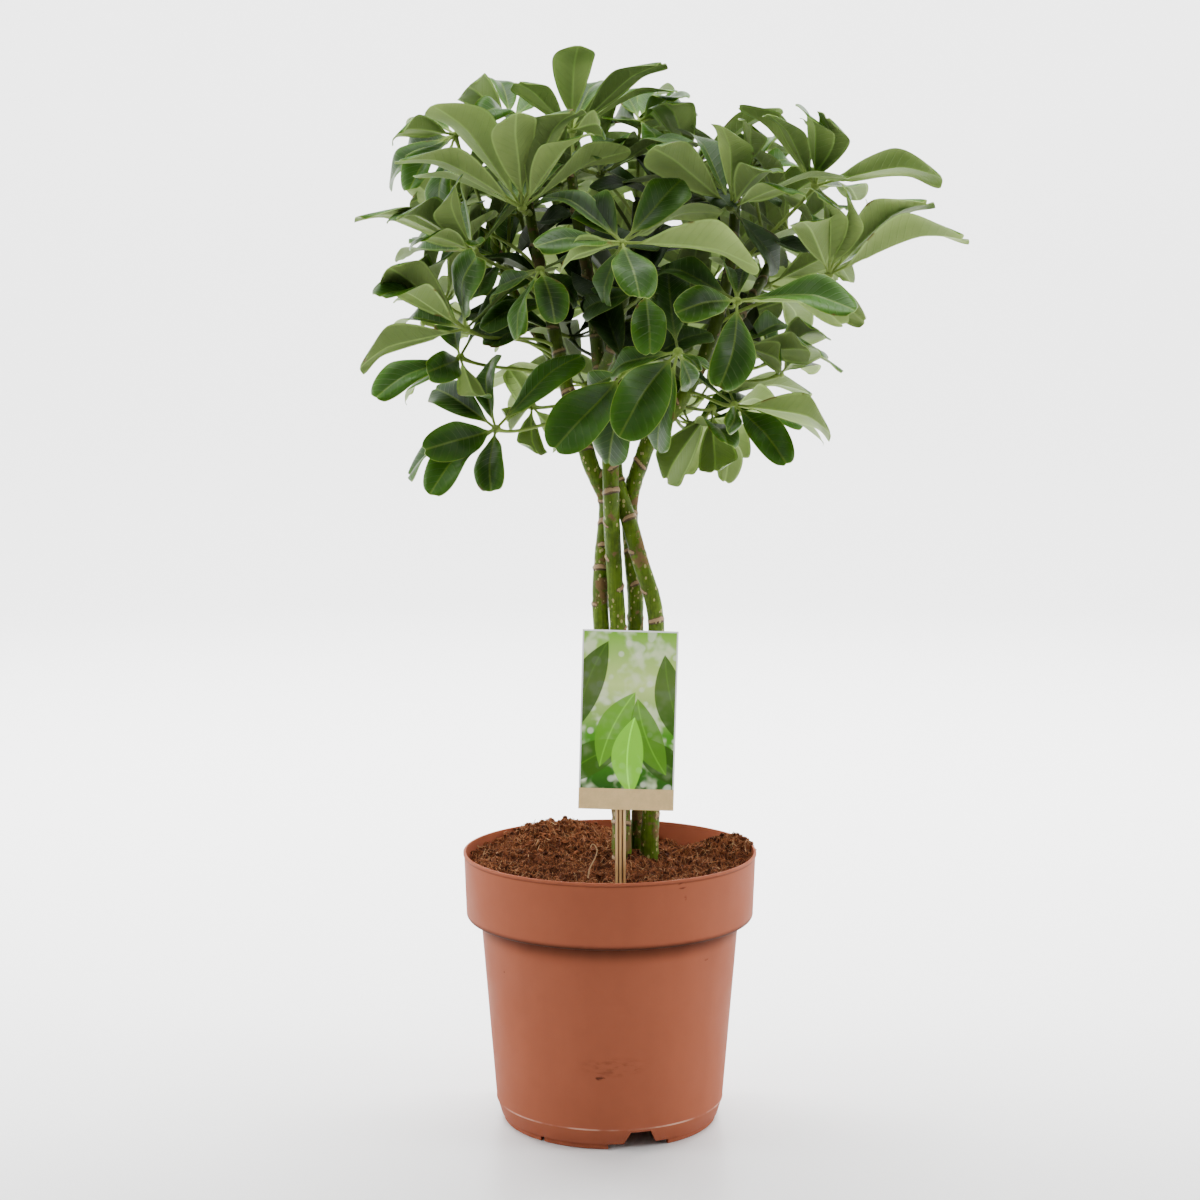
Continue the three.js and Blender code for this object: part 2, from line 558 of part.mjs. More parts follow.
// Turns leaflets about their hubs, a little in each round, until no blade runs through another
// blade, a stalk or a limb.
function turnLeafletsApart(leaves, limbs) {
  const leaflets = leaves.flatMap((leaf) => leaf.leaflets);
  const fixed = fixedRows(leaves, limbs);
  let frames = leaflets.map(leafletFrame);
  const middles = leaflets.map((leaflet, i) => bladePoint(leaflet, frames[i], 0.6, 0));
  const pairs = nearPairs(middles, middles, (i, j) => i !== j);
  const fixedMiddles = fixed.map(({ row }) => row[row.length >> 1]);
  const fixedPairs = nearPairs(middles, fixedMiddles, (i, j) => fixed[i].leaf !== leaflets[j].leaf);
  for (let round = 0; round < BLADE_ROUNDS; round++) {
    const points = leaflets.map((leaflet, i) =>
      BLADE_SAMPLES.map(([share, across]) => bladePoint(leaflet, frames[i], share, across)));
    const turns = leaflets.map(() => [0, 0, 0]);
    const push = (i, hit, share, part) => {
      turns[i] = add(turns[i], scale(hit.push, part / (leaflets[i].length * share)));
    };
    for (const [j, i] of pairs) {
      const first = leaflets[i].leaf === leaflets[j].leaf ? KIN_SAMPLES : 0;
      const hit = clash(leaflets[j], frames[j], points[i].slice(first), BLADE_CLEAR);
      if (!hit) continue;
      push(i, hit, BLADE_SAMPLES[hit.index + first][0], FROM_BLADE);
      push(j, hit, hit.share, -FROM_BLADE);
    }
    for (const [j, i] of fixedPairs) {
      const hit = clash(leaflets[j], frames[j], fixed[i].row, fixed[i].clear);
      if (hit) push(j, hit, hit.share, -FROM_FIXED);
    }
    leaflets.forEach((leaflet, i) => {
      const turn = [turns[i][0] * SIDEWAYS, turns[i][1], turns[i][2] * SIDEWAYS];
      const size = Math.sqrt(dot(turn, turn));
      const kept = size > LARGEST_TURN ? LARGEST_TURN / size : 1;
      leaflet.way = unit(add(leaflet.way, scale(turn, kept)));
    });
    frames = leaflets.map(leafletFrame);
  }
}

// ---------------------------------------------------------------- closed meshes

const wasm = await Module();
wasm.setup();

function solidOf(geometry) {
  const bare = geometry.clone();
  bare.deleteAttribute("normal");
  bare.deleteAttribute("uv");
  const merged = mergeVertices(bare, 1e-4);
  return new wasm.Manifold(new wasm.Mesh({
    numProp: 3,
    vertProperties: Float32Array.from(merged.attributes.position.array),
    triVerts: Uint32Array.from(merged.index.array),
  }));
}

function geometryOf(solid) {
  const mesh = solid.getMesh();
  const geometry = new THREE.BufferGeometry();
  geometry.setAttribute("position", new THREE.BufferAttribute(mesh.vertProperties, 3));
  geometry.setIndex(new THREE.BufferAttribute(mesh.triVerts, 1));
  geometry.computeVertexNormals();
  return geometry;
}

function meshFrom(points, faces) {
  const geometry = new THREE.BufferGeometry();
  geometry.setAttribute("position", new THREE.Float32BufferAttribute(points.flat(), 3));
  geometry.setIndex(faces.flat());
  return geometry;
}

// A closed tube along a curve, with `sides` corners and a radius for each point of it.
function tube(curve, steps, sides, radiusAt) {
  const frames = curve.computeFrenetFrames(steps, false);
  const points = [];
  const faces = [];
  for (let i = 0; i <= steps; i++) {
    const centre = curve.getPointAt(i / steps);
    const radius = radiusAt(centre);
    for (let k = 0; k < sides; k++) {
      const turn = 2 * Math.PI * k / sides;
      const corner = centre.clone()
        .addScaledVector(frames.normals[i], radius * Math.cos(turn))
        .addScaledVector(frames.binormals[i], radius * Math.sin(turn));
      points.push(corner.toArray());
      if (i === steps) continue;
      const next = (k + 1) % sides;
      const a = i * sides + k;
      const b = i * sides + next;
      faces.push([a, b, b + sides], [a, b + sides, a + sides]);
    }
  }
  for (let k = 1; k < sides - 1; k++) {
    faces.push([0, k + 1, k]);
    const last = steps * sides;
    faces.push([last, last + k, last + k + 1]);
  }
  return meshFrom(points, faces);
}

function smoothCurve(points) {
  const places = points.map((p) => new THREE.Vector3(...p));
  return new THREE.CatmullRomCurve3(places, false, "catmullrom", 0.5);
}

// ---------------------------------------------------------------- pot

// The inside of the wall from the floor up to the collar, moved inwards by `inset`.
function innerProfile(inset) {
  const wall = POT_WALL + inset;
  const shelf = COLLAR_FOOT_Z + POT_WALL + inset;
  return [
    [BODY_FOOT_RADIUS - wall - INNER_ROUND, FLOOR_TOP_Z + inset],
    [BODY_FOOT_RADIUS - wall, FLOOR_TOP_Z + 2 * INNER_ROUND],
    [BODY_TOP_RADIUS - wall, COLLAR_FOOT_Z - INNER_ROUND],
    [BODY_TOP_RADIUS - wall + INNER_ROUND, shelf],
    [COLLAR_FOOT_RADIUS - wall - INNER_ROUND, shelf],
    [COLLAR_FOOT_RADIUS - wall, shelf + INNER_ROUND],
  ];
}

function makePot() {
  const ringInner = FOOT_RING_RADIUS - FOOT_RING_WIDTH;
  const floorUnder = FLOOR_TOP_Z - POT_FLOOR;
  const bulge = COLLAR_ROUND * (1 - Math.SQRT1_2); // of a round corner inside its square one
  const outside = [
    [0, floorUnder],
    [ringInner, floorUnder],
    [ringInner, 0],
    [FOOT_RING_RADIUS, 0],
    [FOOT_RING_RADIUS, WALL_EDGE_Z],
    [WALL_EDGE_RADIUS, WALL_EDGE_Z],
    [BODY_FOOT_RADIUS - RIDGE_ROUND / 2, RIDGE_Z - RIDGE_ROUND],
    [BODY_FOOT_RADIUS, RIDGE_Z + RIDGE_ROUND],
    [BODY_TOP_RADIUS, COLLAR_FOOT_Z],
    [COLLAR_FOOT_RADIUS - COLLAR_ROUND, COLLAR_FOOT_Z],
    [COLLAR_FOOT_RADIUS - bulge, COLLAR_FOOT_Z + bulge],
    [COLLAR_FOOT_RADIUS, COLLAR_FOOT_Z + COLLAR_ROUND],
    [POT_RIM_RADIUS, POT_HEIGHT - LIP_ROUND],
    [POT_RIM_RADIUS - LIP_ROUND, POT_HEIGHT],
    [POT_RIM_RADIUS - POT_WALL, POT_HEIGHT],
  ];
  const inside = innerProfile(0).reverse();
  const profile = [...outside, ...inside, [0, FLOOR_TOP_Z], [0, floorUnder]];
  const points = profile.map(([r, z]) => new THREE.Vector2(r, z));
  const shell = new THREE.LatheGeometry(points, POT_SEGMENTS).rotateX(Math.PI / 2);
  let pot = solidOf(shell);
  for (let k = 0; k < NOTCH_COUNT; k++) {
    const turn = NOTCH_TURN + 2 * Math.PI * k / NOTCH_COUNT;
    for (const cutter of [notchCutter(), footGapCutter(), slotCutter()]) {
      pot = pot.subtract(solidOf(cutter.rotateZ(turn)));
    }
  }
  return geometryOf(pot);
}

const PAST = 1; // how far a cutter stands out past what it cuts
const RING_REACH = 6; // how far it reaches inwards past the foot ring

// A wedge through the wall and the foot ring at the front, wider at the floor.
function notchCutter() {
  const slope = (NOTCH_WIDTH_LOW - NOTCH_WIDTH_HIGH) / 2 / (NOTCH_TOP_Z - WALL_EDGE_Z);
  const low = NOTCH_WIDTH_LOW / 2 + slope * (WALL_EDGE_Z + PAST);
  const shape = new THREE.Shape()
    .moveTo(-low, -PAST)
    .lineTo(low, -PAST)
    .lineTo(NOTCH_WIDTH_HIGH / 2, NOTCH_TOP_Z)
    .lineTo(-NOTCH_WIDTH_HIGH / 2, NOTCH_TOP_Z);
  const inner = FOOT_RING_RADIUS - RING_REACH;
  const depth = BODY_FOOT_RADIUS + PAST - inner;
  return new THREE.ExtrudeGeometry(shape, { depth, bevelEnabled: false })
    .rotateX(Math.PI / 2)
    .translate(0, -inner, 0);
}

// Takes the foot ring away on both sides of a notch, below the wall's edge.
function footGapCutter() {
  const front = -Math.PI / 2;
  const shape = new THREE.Shape()
    .absarc(0, 0, FOOT_RING_RADIUS + PAST, front - FOOT_GAP_HALF, front + FOOT_GAP_HALF, false)
    .absarc(0, 0, FOOT_RING_RADIUS - RING_REACH, front + FOOT_GAP_HALF, front - FOOT_GAP_HALF, true);
  const depth = WALL_EDGE_Z + PAST;
  return new THREE.ExtrudeGeometry(shape, { depth, bevelEnabled: false, curveSegments: 4 })
    .translate(0, 0, -PAST);
}

// The narrow slot through the foot ring.
function slotCutter() {
  return new THREE.BoxGeometry(SLOT_WIDTH, RING_REACH, WALL_EDGE_Z + PAST)
    .translate(0, -FOOT_RING_RADIUS, (WALL_EDGE_Z - PAST) / 2)
    .rotateZ(SLOT_TURN);
}

// ---------------------------------------------------------------- soil

// The level of the soil: nearly at the rim, heaped up at the back left and the right.
function soilHeight(x, y) {
  const heaps = SOIL_HEAPS.map(([cx, cy, radius, height]) =>
    height * Math.exp(-((x - cx) * (x - cx) + (y - cy) * (y - cy)) / (radius * radius)));
  const waves = 0.8 * Math.sin(x * 0.21) * Math.cos(y * 0.17) + 0.6 * Math.sin(x * 0.09 + y * 0.13);
  return heaps.reduce((sum, heap) => sum + heap, SOIL_LEVEL + waves);
}

function makeSoil(holes) {
  const wall = innerProfile(GAP + 0.1);
  const points = [];
  const faces = [];
  const ringAt = (radius, z) => {
    for (let k = 0; k < SOIL_SIDES; k++) {
      const turn = 2 * Math.PI * k / SOIL_SIDES;
      const x = radius * Math.cos(turn);
      const y = radius * Math.sin(turn);
      points.push([x, y, z === null ? soilHeight(x, y) : z]);
    }
  };
  // The ring's corners lie on a circle and the pot's flat faces cut inside theirs.
  const flat = Math.cos(Math.PI / POT_SEGMENTS) * 0.999;
  for (const [radius, z] of wall) ringAt(radius * flat, z);
  const edge = (POT_RIM_RADIUS - POT_WALL - SOIL_EDGE - GAP) * flat;
  for (let ring = 0; ring < SOIL_RINGS; ring++) ringAt(edge * (1 - ring / SOIL_RINGS), null);
  const rings = wall.length + SOIL_RINGS;
  for (let ring = 0; ring + 1 < rings; ring++) {
    for (let k = 0; k < SOIL_SIDES; k++) {
      const a = ring * SOIL_SIDES + k;
      const b = ring * SOIL_SIDES + (k + 1) % SOIL_SIDES;
      faces.push([a, b, b + SOIL_SIDES], [a, b + SOIL_SIDES, a + SOIL_SIDES]);
    }
  }
  const low = points.push([0, 0, FLOOR_TOP_Z + GAP]) - 1;
  const high = points.push([0, 0, soilHeight(0, 0)]) - 1;
  const last = (rings - 1) * SOIL_SIDES;
  for (let k = 0; k < SOIL_SIDES; k++) {
    const next = (k + 1) % SOIL_SIDES;
    faces.push([low, next, k], [last + k, last + next, high]);
  }
  let soil = solidOf(meshFrom(points, faces));
  for (const hole of holes) soil = soil.subtract(hole);
  return geometryOf(soil);
}

// ---------------------------------------------------------------- stems, label and leaves

const STEM_SIDES = 6;
const STEM_STEP = 23;

function limbTube(name, grow) {
  const points = limbPoints(name);
  const curve = smoothCurve(points);
  const steps = Math.round(curve.getLength() / STEM_STEP);
  return tube(curve, steps, STEM_SIDES, (at) => limbRadius(name, at.z) + grow);
}

function stemSolid(name, grow) {
  let stem = solidOf(limbTube(name, grow));
  for (const [branch, [parent]] of Object.entries(BRANCHES)) {
    if (parent === name) stem = stem.add(solidOf(limbTube(branch, grow)));
  }
  return stem;
}

function makeCard() {
  const geometry = new THREE.BoxGeometry(CARD_WIDTH, CARD_THICK, CARD_HEIGHT);
  return geometry.rotateY(CARD_TILT).translate(...CARD_CENTRE);
}

// The stake's section has three ribs down its front.
function makeStake() {
  const half = STAKE_WIDTH / 2;
  const rib = STAKE_WIDTH / STAKE_RIBS;
  const shape = new THREE.Shape().moveTo(-half, 0);
  for (let k = 0; k < STAKE_RIBS; k++) {
    const left = -half + k * rib;
    shape.lineTo(left + rib * 0.2, -STAKE_THICK).lineTo(left + rib * 0.8, -STAKE_THICK);
    shape.lineTo(left + rib, k < STAKE_RIBS - 1 ? -STAKE_THICK * 0.6 : 0);
  }
  const depth = STAKE_TOP_Z - STAKE_FOOT_Z;
  return new THREE.ExtrudeGeometry(shape, { depth, bevelEnabled: false })
    .translate(STAKE_X, STAKE_BACK_Y, STAKE_FOOT_Z);
}

// The plain slot that the stake leaves in the soil.
function stakeHole() {
  const height = POT_HEIGHT - STAKE_FOOT_Z + 25;
  return new THREE.BoxGeometry(STAKE_WIDTH + 2 * GAP, STAKE_THICK + 2 * GAP, height)
    .translate(STAKE_X, STAKE_BACK_Y - STAKE_THICK / 2, STAKE_FOOT_Z - GAP + height / 2);
}

const HUB_RADIUS = 5.6;
const ROOT_START = 2.8; // of a leaflet's root from the middle of the hub
const TIP_HALF = 0.5; // half width at the tip, of the greatest half width
const STALK_STEPS = 4;
const STALK_SIDES = 4;

// A leaflet as a thin folded plate in two lengths: from a narrow root to its widest part, and on
// to a blunt tip. Both faces are split into triangles alike.
function bladeGeometry(leaflet, grow) {
  const frame = leafletFrame(leaflet);
  const points = [];
  const station = (share, half, thick, rib, fold, parts) => {
    const along = add(leaflet.leaf.hub, scale(frame.way, leaflet.length * share));
    for (const face of [1, -1]) {
      for (const across of parts) {
        const wide = across * (half + grow);
        const rise = rib + fold * Math.abs(wide) + face * (thick / 2 + grow);
        points.push(add(along, add(scale(frame.side, wide), scale(frame.face, rise))));
      }
    }
  };
  const tip = 1 + grow / leaflet.length;
  const wide = leaflet.width / 2;
  station(ROOT_START / leaflet.length, ROOT_HALF, ROOT_THICK, 0, 0, [-1, 1]);
  station(WIDEST, wide, BLADE_THICK, ribRise(leaflet, WIDEST), FOLD, [-1, 0, 1]);
  station(tip, TIP_HALF * wide, BLADE_THICK, 0, FOLD / 2, [-1, 1]);
  const faces = [
    [0, 4, 5], [0, 5, 1], [1, 5, 6], [4, 10, 5], [10, 11, 5], [11, 6, 5],
    [2, 8, 7], [2, 3, 8], [3, 9, 8], [7, 8, 12], [12, 8, 13], [13, 8, 9],
  ];
  const quad = (a, b, c, d) => faces.push([a, b, c], [a, c, d]);
  quad(0, 1, 3, 2);
  quad(0, 2, 7, 4);
  quad(1, 6, 9, 3);
  quad(4, 7, 12, 10);
  quad(6, 11, 13, 9);
  quad(10, 12, 13, 11);
  return meshFrom(points, faces);
}

function hubGeometry(leaf, grow) {
  return new THREE.OctahedronGeometry(HUB_RADIUS + 2 * grow).translate(...leaf.hub);
}

function stalkGeometry(leaf, grow) {
  const places = [leaf.foot, ...leaf.bends, leaf.hub].map((p) => new THREE.Vector3(...p));
  const curve = new THREE.CubicBezierCurve3(...places);
  return tube(curve, STALK_STEPS, STALK_SIDES, () => STALK_RADIUS + grow);
}

function boxesMeet(a, b) {
  return [0, 1, 2].every((k) => a.min[k] < b.max[k] && b.min[k] < a.max[k]);
}

// One solid for each leaf. Blades give way to stems, to other leaves' stalks and to the blades of
// leaves before them in the list. What a cut leaves loose is dropped.
function makeLeaves(leaves, stemCutter) {
  const stalkWithHub = (leaf, grow) =>
    solidOf(stalkGeometry(leaf, grow)).add(solidOf(hubGeometry(leaf, grow)));
  const wideStalks = leaves.map((leaf) => stalkWithHub(leaf, GAP));
  const wideBlades = leaves.map((leaf) => leaf.leaflets.map((l) => solidOf(bladeGeometry(l, GAP))));
  const stalkBoxes = wideStalks.map((s) => s.boundingBox());
  const bladeBoxes = wideBlades.map((row) => row.map((s) => s.boundingBox()));
  return leaves.map((leaf, i) => {
    let whole = stalkWithHub(leaf, 0);
    for (const leaflet of leaf.leaflets) {
      let blade = solidOf(bladeGeometry(leaflet, 0));
      const box = blade.boundingBox();
      for (let j = 0; j < leaves.length; j++) {
        if (j !== i && boxesMeet(box, stalkBoxes[j])) blade = blade.subtract(wideStalks[j]);
        if (j >= i) continue;
        wideBlades[j].forEach((other, k) => {
          if (boxesMeet(box, bladeBoxes[j][k])) blade = blade.subtract(other);
        });
      }
      whole = whole.add(blade);
    }
    whole = whole.subtract(stemCutter);
    const pieces = whole.decompose();
    pieces.sort((a, b) => b.volume() - a.volume());
    return geometryOf(pieces[0]);
  });
}

// ---------------------------------------------------------------- the whole plant

const MATERIALS = {
  pot: new THREE.MeshStandardMaterial({ color: 0xb5643f, roughness: 0.5, metalness: 0 }),
  soil: new THREE.MeshStandardMaterial({ color: 0x5a3323, roughness: 0.95, metalness: 0 }),
  stem: new THREE.MeshStandardMaterial({ color: 0x5f7a2c, roughness: 0.55, metalness: 0 }),
  leaf: new THREE.MeshStandardMaterial({ color: 0x2f5a25, roughness: 0.35, metalness: 0 }),
  card: new THREE.MeshStandardMaterial({ color: 0xdfe6cf, roughness: 0.4, metalness: 0 }),
  stake: new THREE.MeshStandardMaterial({ color: 0xa9793f, roughness: 0.6, metalness: 0 }),
};

const plant = new THREE.Group();

function place(name, geometry, material) {
  const mesh = new THREE.Mesh(geometry, material);
  mesh.name = name;
  plant.add(mesh);
}

const leaves = growLeaves();
const limbs = limbSamples();
bendStalksApart(leaves, limbs);
turnLeafletsApart(leaves, limbs);

const stemNames = Object.keys(STEMS);
const wideStems = stemNames.map((name) => stemSolid(name, GAP));
const stemCutter = wideStems.reduce((all, stem) => all.add(stem));

place("pot", makePot(), MATERIALS.pot);
place("soil", makeSoil([...wideStems, solidOf(stakeHole())]), MATERIALS.soil);
stemNames.forEach((name, k) => {
  let stem = stemSolid(name, 0);
  for (let j = 0; j < k; j++) stem = stem.subtract(wideStems[j]);
  place(`stem_${k + 1}`, geometryOf(stem), MATERIALS.stem);
});
place("label_card", makeCard(), MATERIALS.card);
place("label_stake", makeStake(), MATERIALS.stake);
makeLeaves(leaves, stemCutter).forEach((geometry, k) => {
  place(`leaf_${String(k + 1).padStart(2, "0")}`, geometry, MATERIALS.leaf);
});

// The plant leans off the pot's axis, so it is moved for the middle of its box to stand over the
// origin, with its foot at z = 0.
const box = new THREE.Box3().setFromObject(plant);
plant.position.set(-(box.min.x + box.max.x) / 2, -(box.min.y + box.max.y) / 2, -box.min.z);

export default plant;
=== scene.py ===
"""Potted umbrella plant: the finished surfaces, fitted over the plain solids of the frame.

The plant is worked out in millimetres from the foot of the pot's own axis, because it grows from
the middle of the pot. `Shells.mesh` then places each mesh in the frame, in metres.
"""

import math
from itertools import combinations

import bpy
import numpy as np
from bpy.props import FloatProperty, FloatVectorProperty, IntProperty, PointerProperty
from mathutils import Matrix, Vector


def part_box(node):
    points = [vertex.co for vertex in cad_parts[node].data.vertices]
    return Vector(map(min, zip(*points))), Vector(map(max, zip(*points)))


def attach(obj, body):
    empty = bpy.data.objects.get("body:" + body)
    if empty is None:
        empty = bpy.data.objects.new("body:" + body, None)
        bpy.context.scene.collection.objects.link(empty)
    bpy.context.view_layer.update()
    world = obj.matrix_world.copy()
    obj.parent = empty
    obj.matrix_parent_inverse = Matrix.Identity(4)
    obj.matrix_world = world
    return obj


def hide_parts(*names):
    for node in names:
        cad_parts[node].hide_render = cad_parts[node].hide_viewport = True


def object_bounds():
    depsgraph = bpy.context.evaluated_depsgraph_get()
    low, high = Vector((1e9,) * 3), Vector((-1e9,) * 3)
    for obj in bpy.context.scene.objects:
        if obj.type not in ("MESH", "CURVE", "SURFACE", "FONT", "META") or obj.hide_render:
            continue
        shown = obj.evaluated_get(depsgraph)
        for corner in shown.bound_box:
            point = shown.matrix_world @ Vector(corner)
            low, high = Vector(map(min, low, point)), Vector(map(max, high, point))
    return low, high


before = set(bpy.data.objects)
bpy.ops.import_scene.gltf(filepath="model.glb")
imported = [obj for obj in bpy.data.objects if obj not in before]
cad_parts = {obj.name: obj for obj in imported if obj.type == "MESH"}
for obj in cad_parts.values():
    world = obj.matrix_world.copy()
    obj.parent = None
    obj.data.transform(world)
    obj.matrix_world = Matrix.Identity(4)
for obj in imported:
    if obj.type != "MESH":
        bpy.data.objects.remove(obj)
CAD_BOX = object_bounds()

bl_info = {
    "name": "Potted umbrella plant",
    "version": (1, 0, 0),
    "blender": (4, 5, 0),
    "location": "3D View > Sidebar > Umbrella plant",
    "description": "Builds a potted umbrella plant with braided stems, coir soil and a plant label",
    "category": "Add Mesh",
}

MM = 0.001
POT_LOW, POT_HIGH = (np.array(corner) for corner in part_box("pot"))
POT_FOOT = np.array([(POT_LOW[0] + POT_HIGH[0]) / 2, (POT_LOW[1] + POT_HIGH[1]) / 2, POT_LOW[2]])
GAP = 0.3  # left between pieces that touch

# ---------------------------------------------------------------- sizes of the pot and the label

POT_HEIGHT = (POT_HIGH[2] - POT_LOW[2]) / MM
POT_RIM_RADIUS = (POT_HIGH[0] - POT_LOW[0]) / MM / 2
POT_WALL = 1.6
POT_FLOOR = 2.0  # thickness
INNER_ROUND = 1.6  # of the corners inside the wall
LIP_ROUND = 0.6
COLLAR_ROUND = 2.6
COLLAR_FOOT_Z = 132.5
COLLAR_FOOT_RADIUS = 92.5
BODY_TOP_RADIUS = 83.3
BODY_FOOT_RADIUS = 73.6
RIDGE_Z = 13.4  # where the body turns in to its chamfered foot
RIDGE_ROUND = 1.0
WALL_EDGE_Z = 3.6
WALL_EDGE_RADIUS = 70.6
FOOT_RING_RADIUS = 69.0
FOOT_RING_WIDTH = 2.0
FLOOR_TOP_Z = 11.2

NOTCH_COUNT = 3
NOTCH_TURN = math.radians(15.5)  # from the front, to the right
NOTCH_WIDTH_LOW = 21.0
NOTCH_WIDTH_HIGH = 13.0
NOTCH_TOP_Z = 11.7
FOOT_GAP_HALF = math.radians(16.5)
SLOT_TURN = math.radians(-53.5)  # from the notch to the narrow slot in the foot ring
SLOT_WIDTH = 3.0

SOIL_LEVEL = 168.5
SOIL_RADIUS = POT_RIM_RADIUS - POT_WALL - 0.6  # at the soil's top
SLUMP, SLUMP_REACH = 2.2, 3.0  # fall of the soil at the pot's wall
SOIL_HEAPS = [  # (x, y, radius, height)
    (-38, 62, 26, 12), (78, 22, 20, 10), (14, -4, 34, 3), (48, 68, 30, -9), (-70, -10, 30, 2.5),
]

STEM_FOOT_Z = 172.0
STEM_SWELL = 1.0
SWELL_HEIGHT = 45.0
STEM_RADIUS = 5.2
STEM_TIP_RADIUS = 3.1
BRANCH_RADIUS = 3.5
STALK_RADIUS = 1.3

CARD_SIZE = (58.0, 110.0)
CARD_THICK = 0.7
CARD_TILT = math.radians(1.5)
CARD_CENTRE = (10.8, -78.0, 272.0)
STAKE_WIDTH = 6.8
STAKE_THICK = 2.2
STAKE_RIBS = 3
STAKE_FOOT_Z = 118.0
STAKE_TOP_Z = 306.0
STAKE_X = 6.2
STAKE_BACK_Y = CARD_CENTRE[1] + CARD_THICK / 2 + GAP + STAKE_THICK

# ---------------------------------------------------------------- the front view

# Leaves are placed in a front view drawn on a square of 1200 units, seen from an eye in front of
# the pot. A place in it is (across, down); with a depth behind the pot's axis it is a point.
EYE = np.array([-6.3, -1400.0, 489.0])
EYE_PITCH = math.radians(6.2)  # downwards
VIEW_FOCAL = 2208.0
VIEW_MIDDLE = 600.0
SENSOR = 36.0


def sight_line(across, down):
    """The direction from the eye through a place of the view, with the pitch turned in."""
    right = (across - VIEW_MIDDLE) / VIEW_FOCAL
    up = (VIEW_MIDDLE - down) / VIEW_FOCAL
    cos, sin = math.cos(EYE_PITCH), math.sin(EYE_PITCH)
    return np.array([right, cos + up * sin, -sin + up * cos])


def seen_at(across, down, depth):
    """The point of a sight line at a depth behind the pot's axis."""
    line = sight_line(across, down)
    return EYE + line * (depth - EYE[1]) / line[1]


def reach_to(start, across, down, reach):
    """The point of a sight line that lies `reach` from `start`: on the near side, on the far
    side where `reach` is negative, or the closest one where the line passes further off."""
    line = unit(sight_line(across, down))
    to_eye = EYE - start
    along = -to_eye @ line
    spare = along * along - to_eye @ to_eye + reach * reach
    half = math.sqrt(spare) if spare > 0 else 0.0
    return EYE + line * (along - half if reach > 0 else along + half)


def unit(vectors):
    """Vectors divided by their length."""
    return vectors / np.linalg.norm(vectors, axis=-1, keepdims=True)


def smooth_step(low, high, values):
    """0 below `low`, 1 above `high`, and 3t^2 - 2t^3 between them."""
    t = np.clip((values - low) / (high - low), 0, 1)
    return t * t * (3 - 2 * t)


# ---------------------------------------------------------------- meshes

class Shells:
    """Closed shells gathered into one mesh, with values at their points."""

    def __init__(self):
        self.points, self.loops, self.sizes = [], [], []
        self.values = {}
        self.count = 0

    def add(self, points, faces, **values):
        """Adds points in millimetres, faces as arrays of corners, one array for each size, and
        values that fit the rows of the points."""
        for name, value in values.items():
            fitted = np.broadcast_to(value, points.shape[:-1])
            self.values.setdefault(name, []).append(fitted.ravel())
        for corners in faces:
            self.loops.append(corners.ravel() + self.count)
            self.sizes.append(np.full(len(corners), corners.shape[1]))
        self.points.append(points.reshape(-1, 3))
        self.count += points.size // 3

    def mesh(self, name, low=-np.inf, high=np.inf):
        """The mesh of all shells, in metres in the frame, kept between two corners of a box."""
        points = np.clip(np.concatenate(self.points) * MM + POT_FOOT, low, high)
        loops, sizes = np.concatenate(self.loops), np.concatenate(self.sizes)
        mesh = bpy.data.meshes.new(name)
        mesh.vertices.add(len(points))
        mesh.vertices.foreach_set("co", points.ravel())
        mesh.loops.add(len(loops))
        mesh.loops.foreach_set("vertex_index", loops.astype(np.int32))
        mesh.polygons.add(len(sizes))
        mesh.polygons.foreach_set("loop_start", (np.cumsum(sizes) - sizes).astype(np.int32))
        for key, parts in self.values.items():
            values = mesh.attributes.new(key, "FLOAT", "POINT")
            values.data.foreach_set("value", np.concatenate(parts).astype(np.float32))
        mesh.update(calc_edges=True)
        return mesh

    def piece(self, name, material, slot, *nodes):
        """Makes a finished piece that stays in the frame's box and stands for the nodes."""
        finished(self.mesh(name, *CAD_BOX), material, slot, *nodes)


def in_scene(name, data):
    """A new object of a mesh, light or camera, in the scene."""
    item = bpy.data.objects.new(name, data)
    bpy.context.scene.collection.objects.link(item)
    return item


def finished(mesh, material, slot, *nodes, sharp=40):
    """Makes the object of a finished mesh, on the plant's one body: smooth, but for its edges of
    more than `sharp` degrees."""
    mesh.shade_smooth()
    mesh.set_sharp_from_angle(angle=math.radians(sharp))
    mesh.materials.append(material)
    piece = in_scene(mesh.name, mesh)
    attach(piece, "root")
    if nodes:
        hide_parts(*nodes)


def grid_faces(rows, columns, closed=True):
    """The four corners of each cell of a grid of points, whose rows may close on themselves."""
    row = np.arange(rows - 1)[:, None]
    column = np.arange(columns if closed else columns - 1)
    following = (column + 1) % columns
    corners = [(row, column), (row, following), (row + 1, following), (row + 1, column)]
    return np.stack([r * columns + c for r, c in corners], -1).reshape(-1, 4)


def closed_rings(rings, low, high):
    """A shell of rings of points that turn anticlockwise as seen from its far end, closed by a
    point at each end."""
    count, sides = rings.shape[:2]
    ring = np.arange(sides)
    following, last, end = (ring + 1) % sides, (count - 1) * sides, count * sides
    fans = [np.stack([np.full(sides, end), following, ring], -1),
            np.stack([np.full(sides, end + 1), last + ring, last + following], -1)]
    return np.concatenate([rings.reshape(-1, 3), [low, high]]), [grid_faces(count, sides), *fans]


def lathe(profile, segments):
    """A profile carried round the Z axis, with a single point at each of its ends, which lie on
    the axis: point = (r cos t, r sin t, z)."""
    turn = turns(segments)
    r, z = profile[1:-1].T[..., None]
    rings = np.stack(np.broadcast_arrays(r * np.cos(turn), r * np.sin(turn), z), -1)
    return closed_rings(rings, *((0, 0, height) for height in profile[[0, -1], 1]))


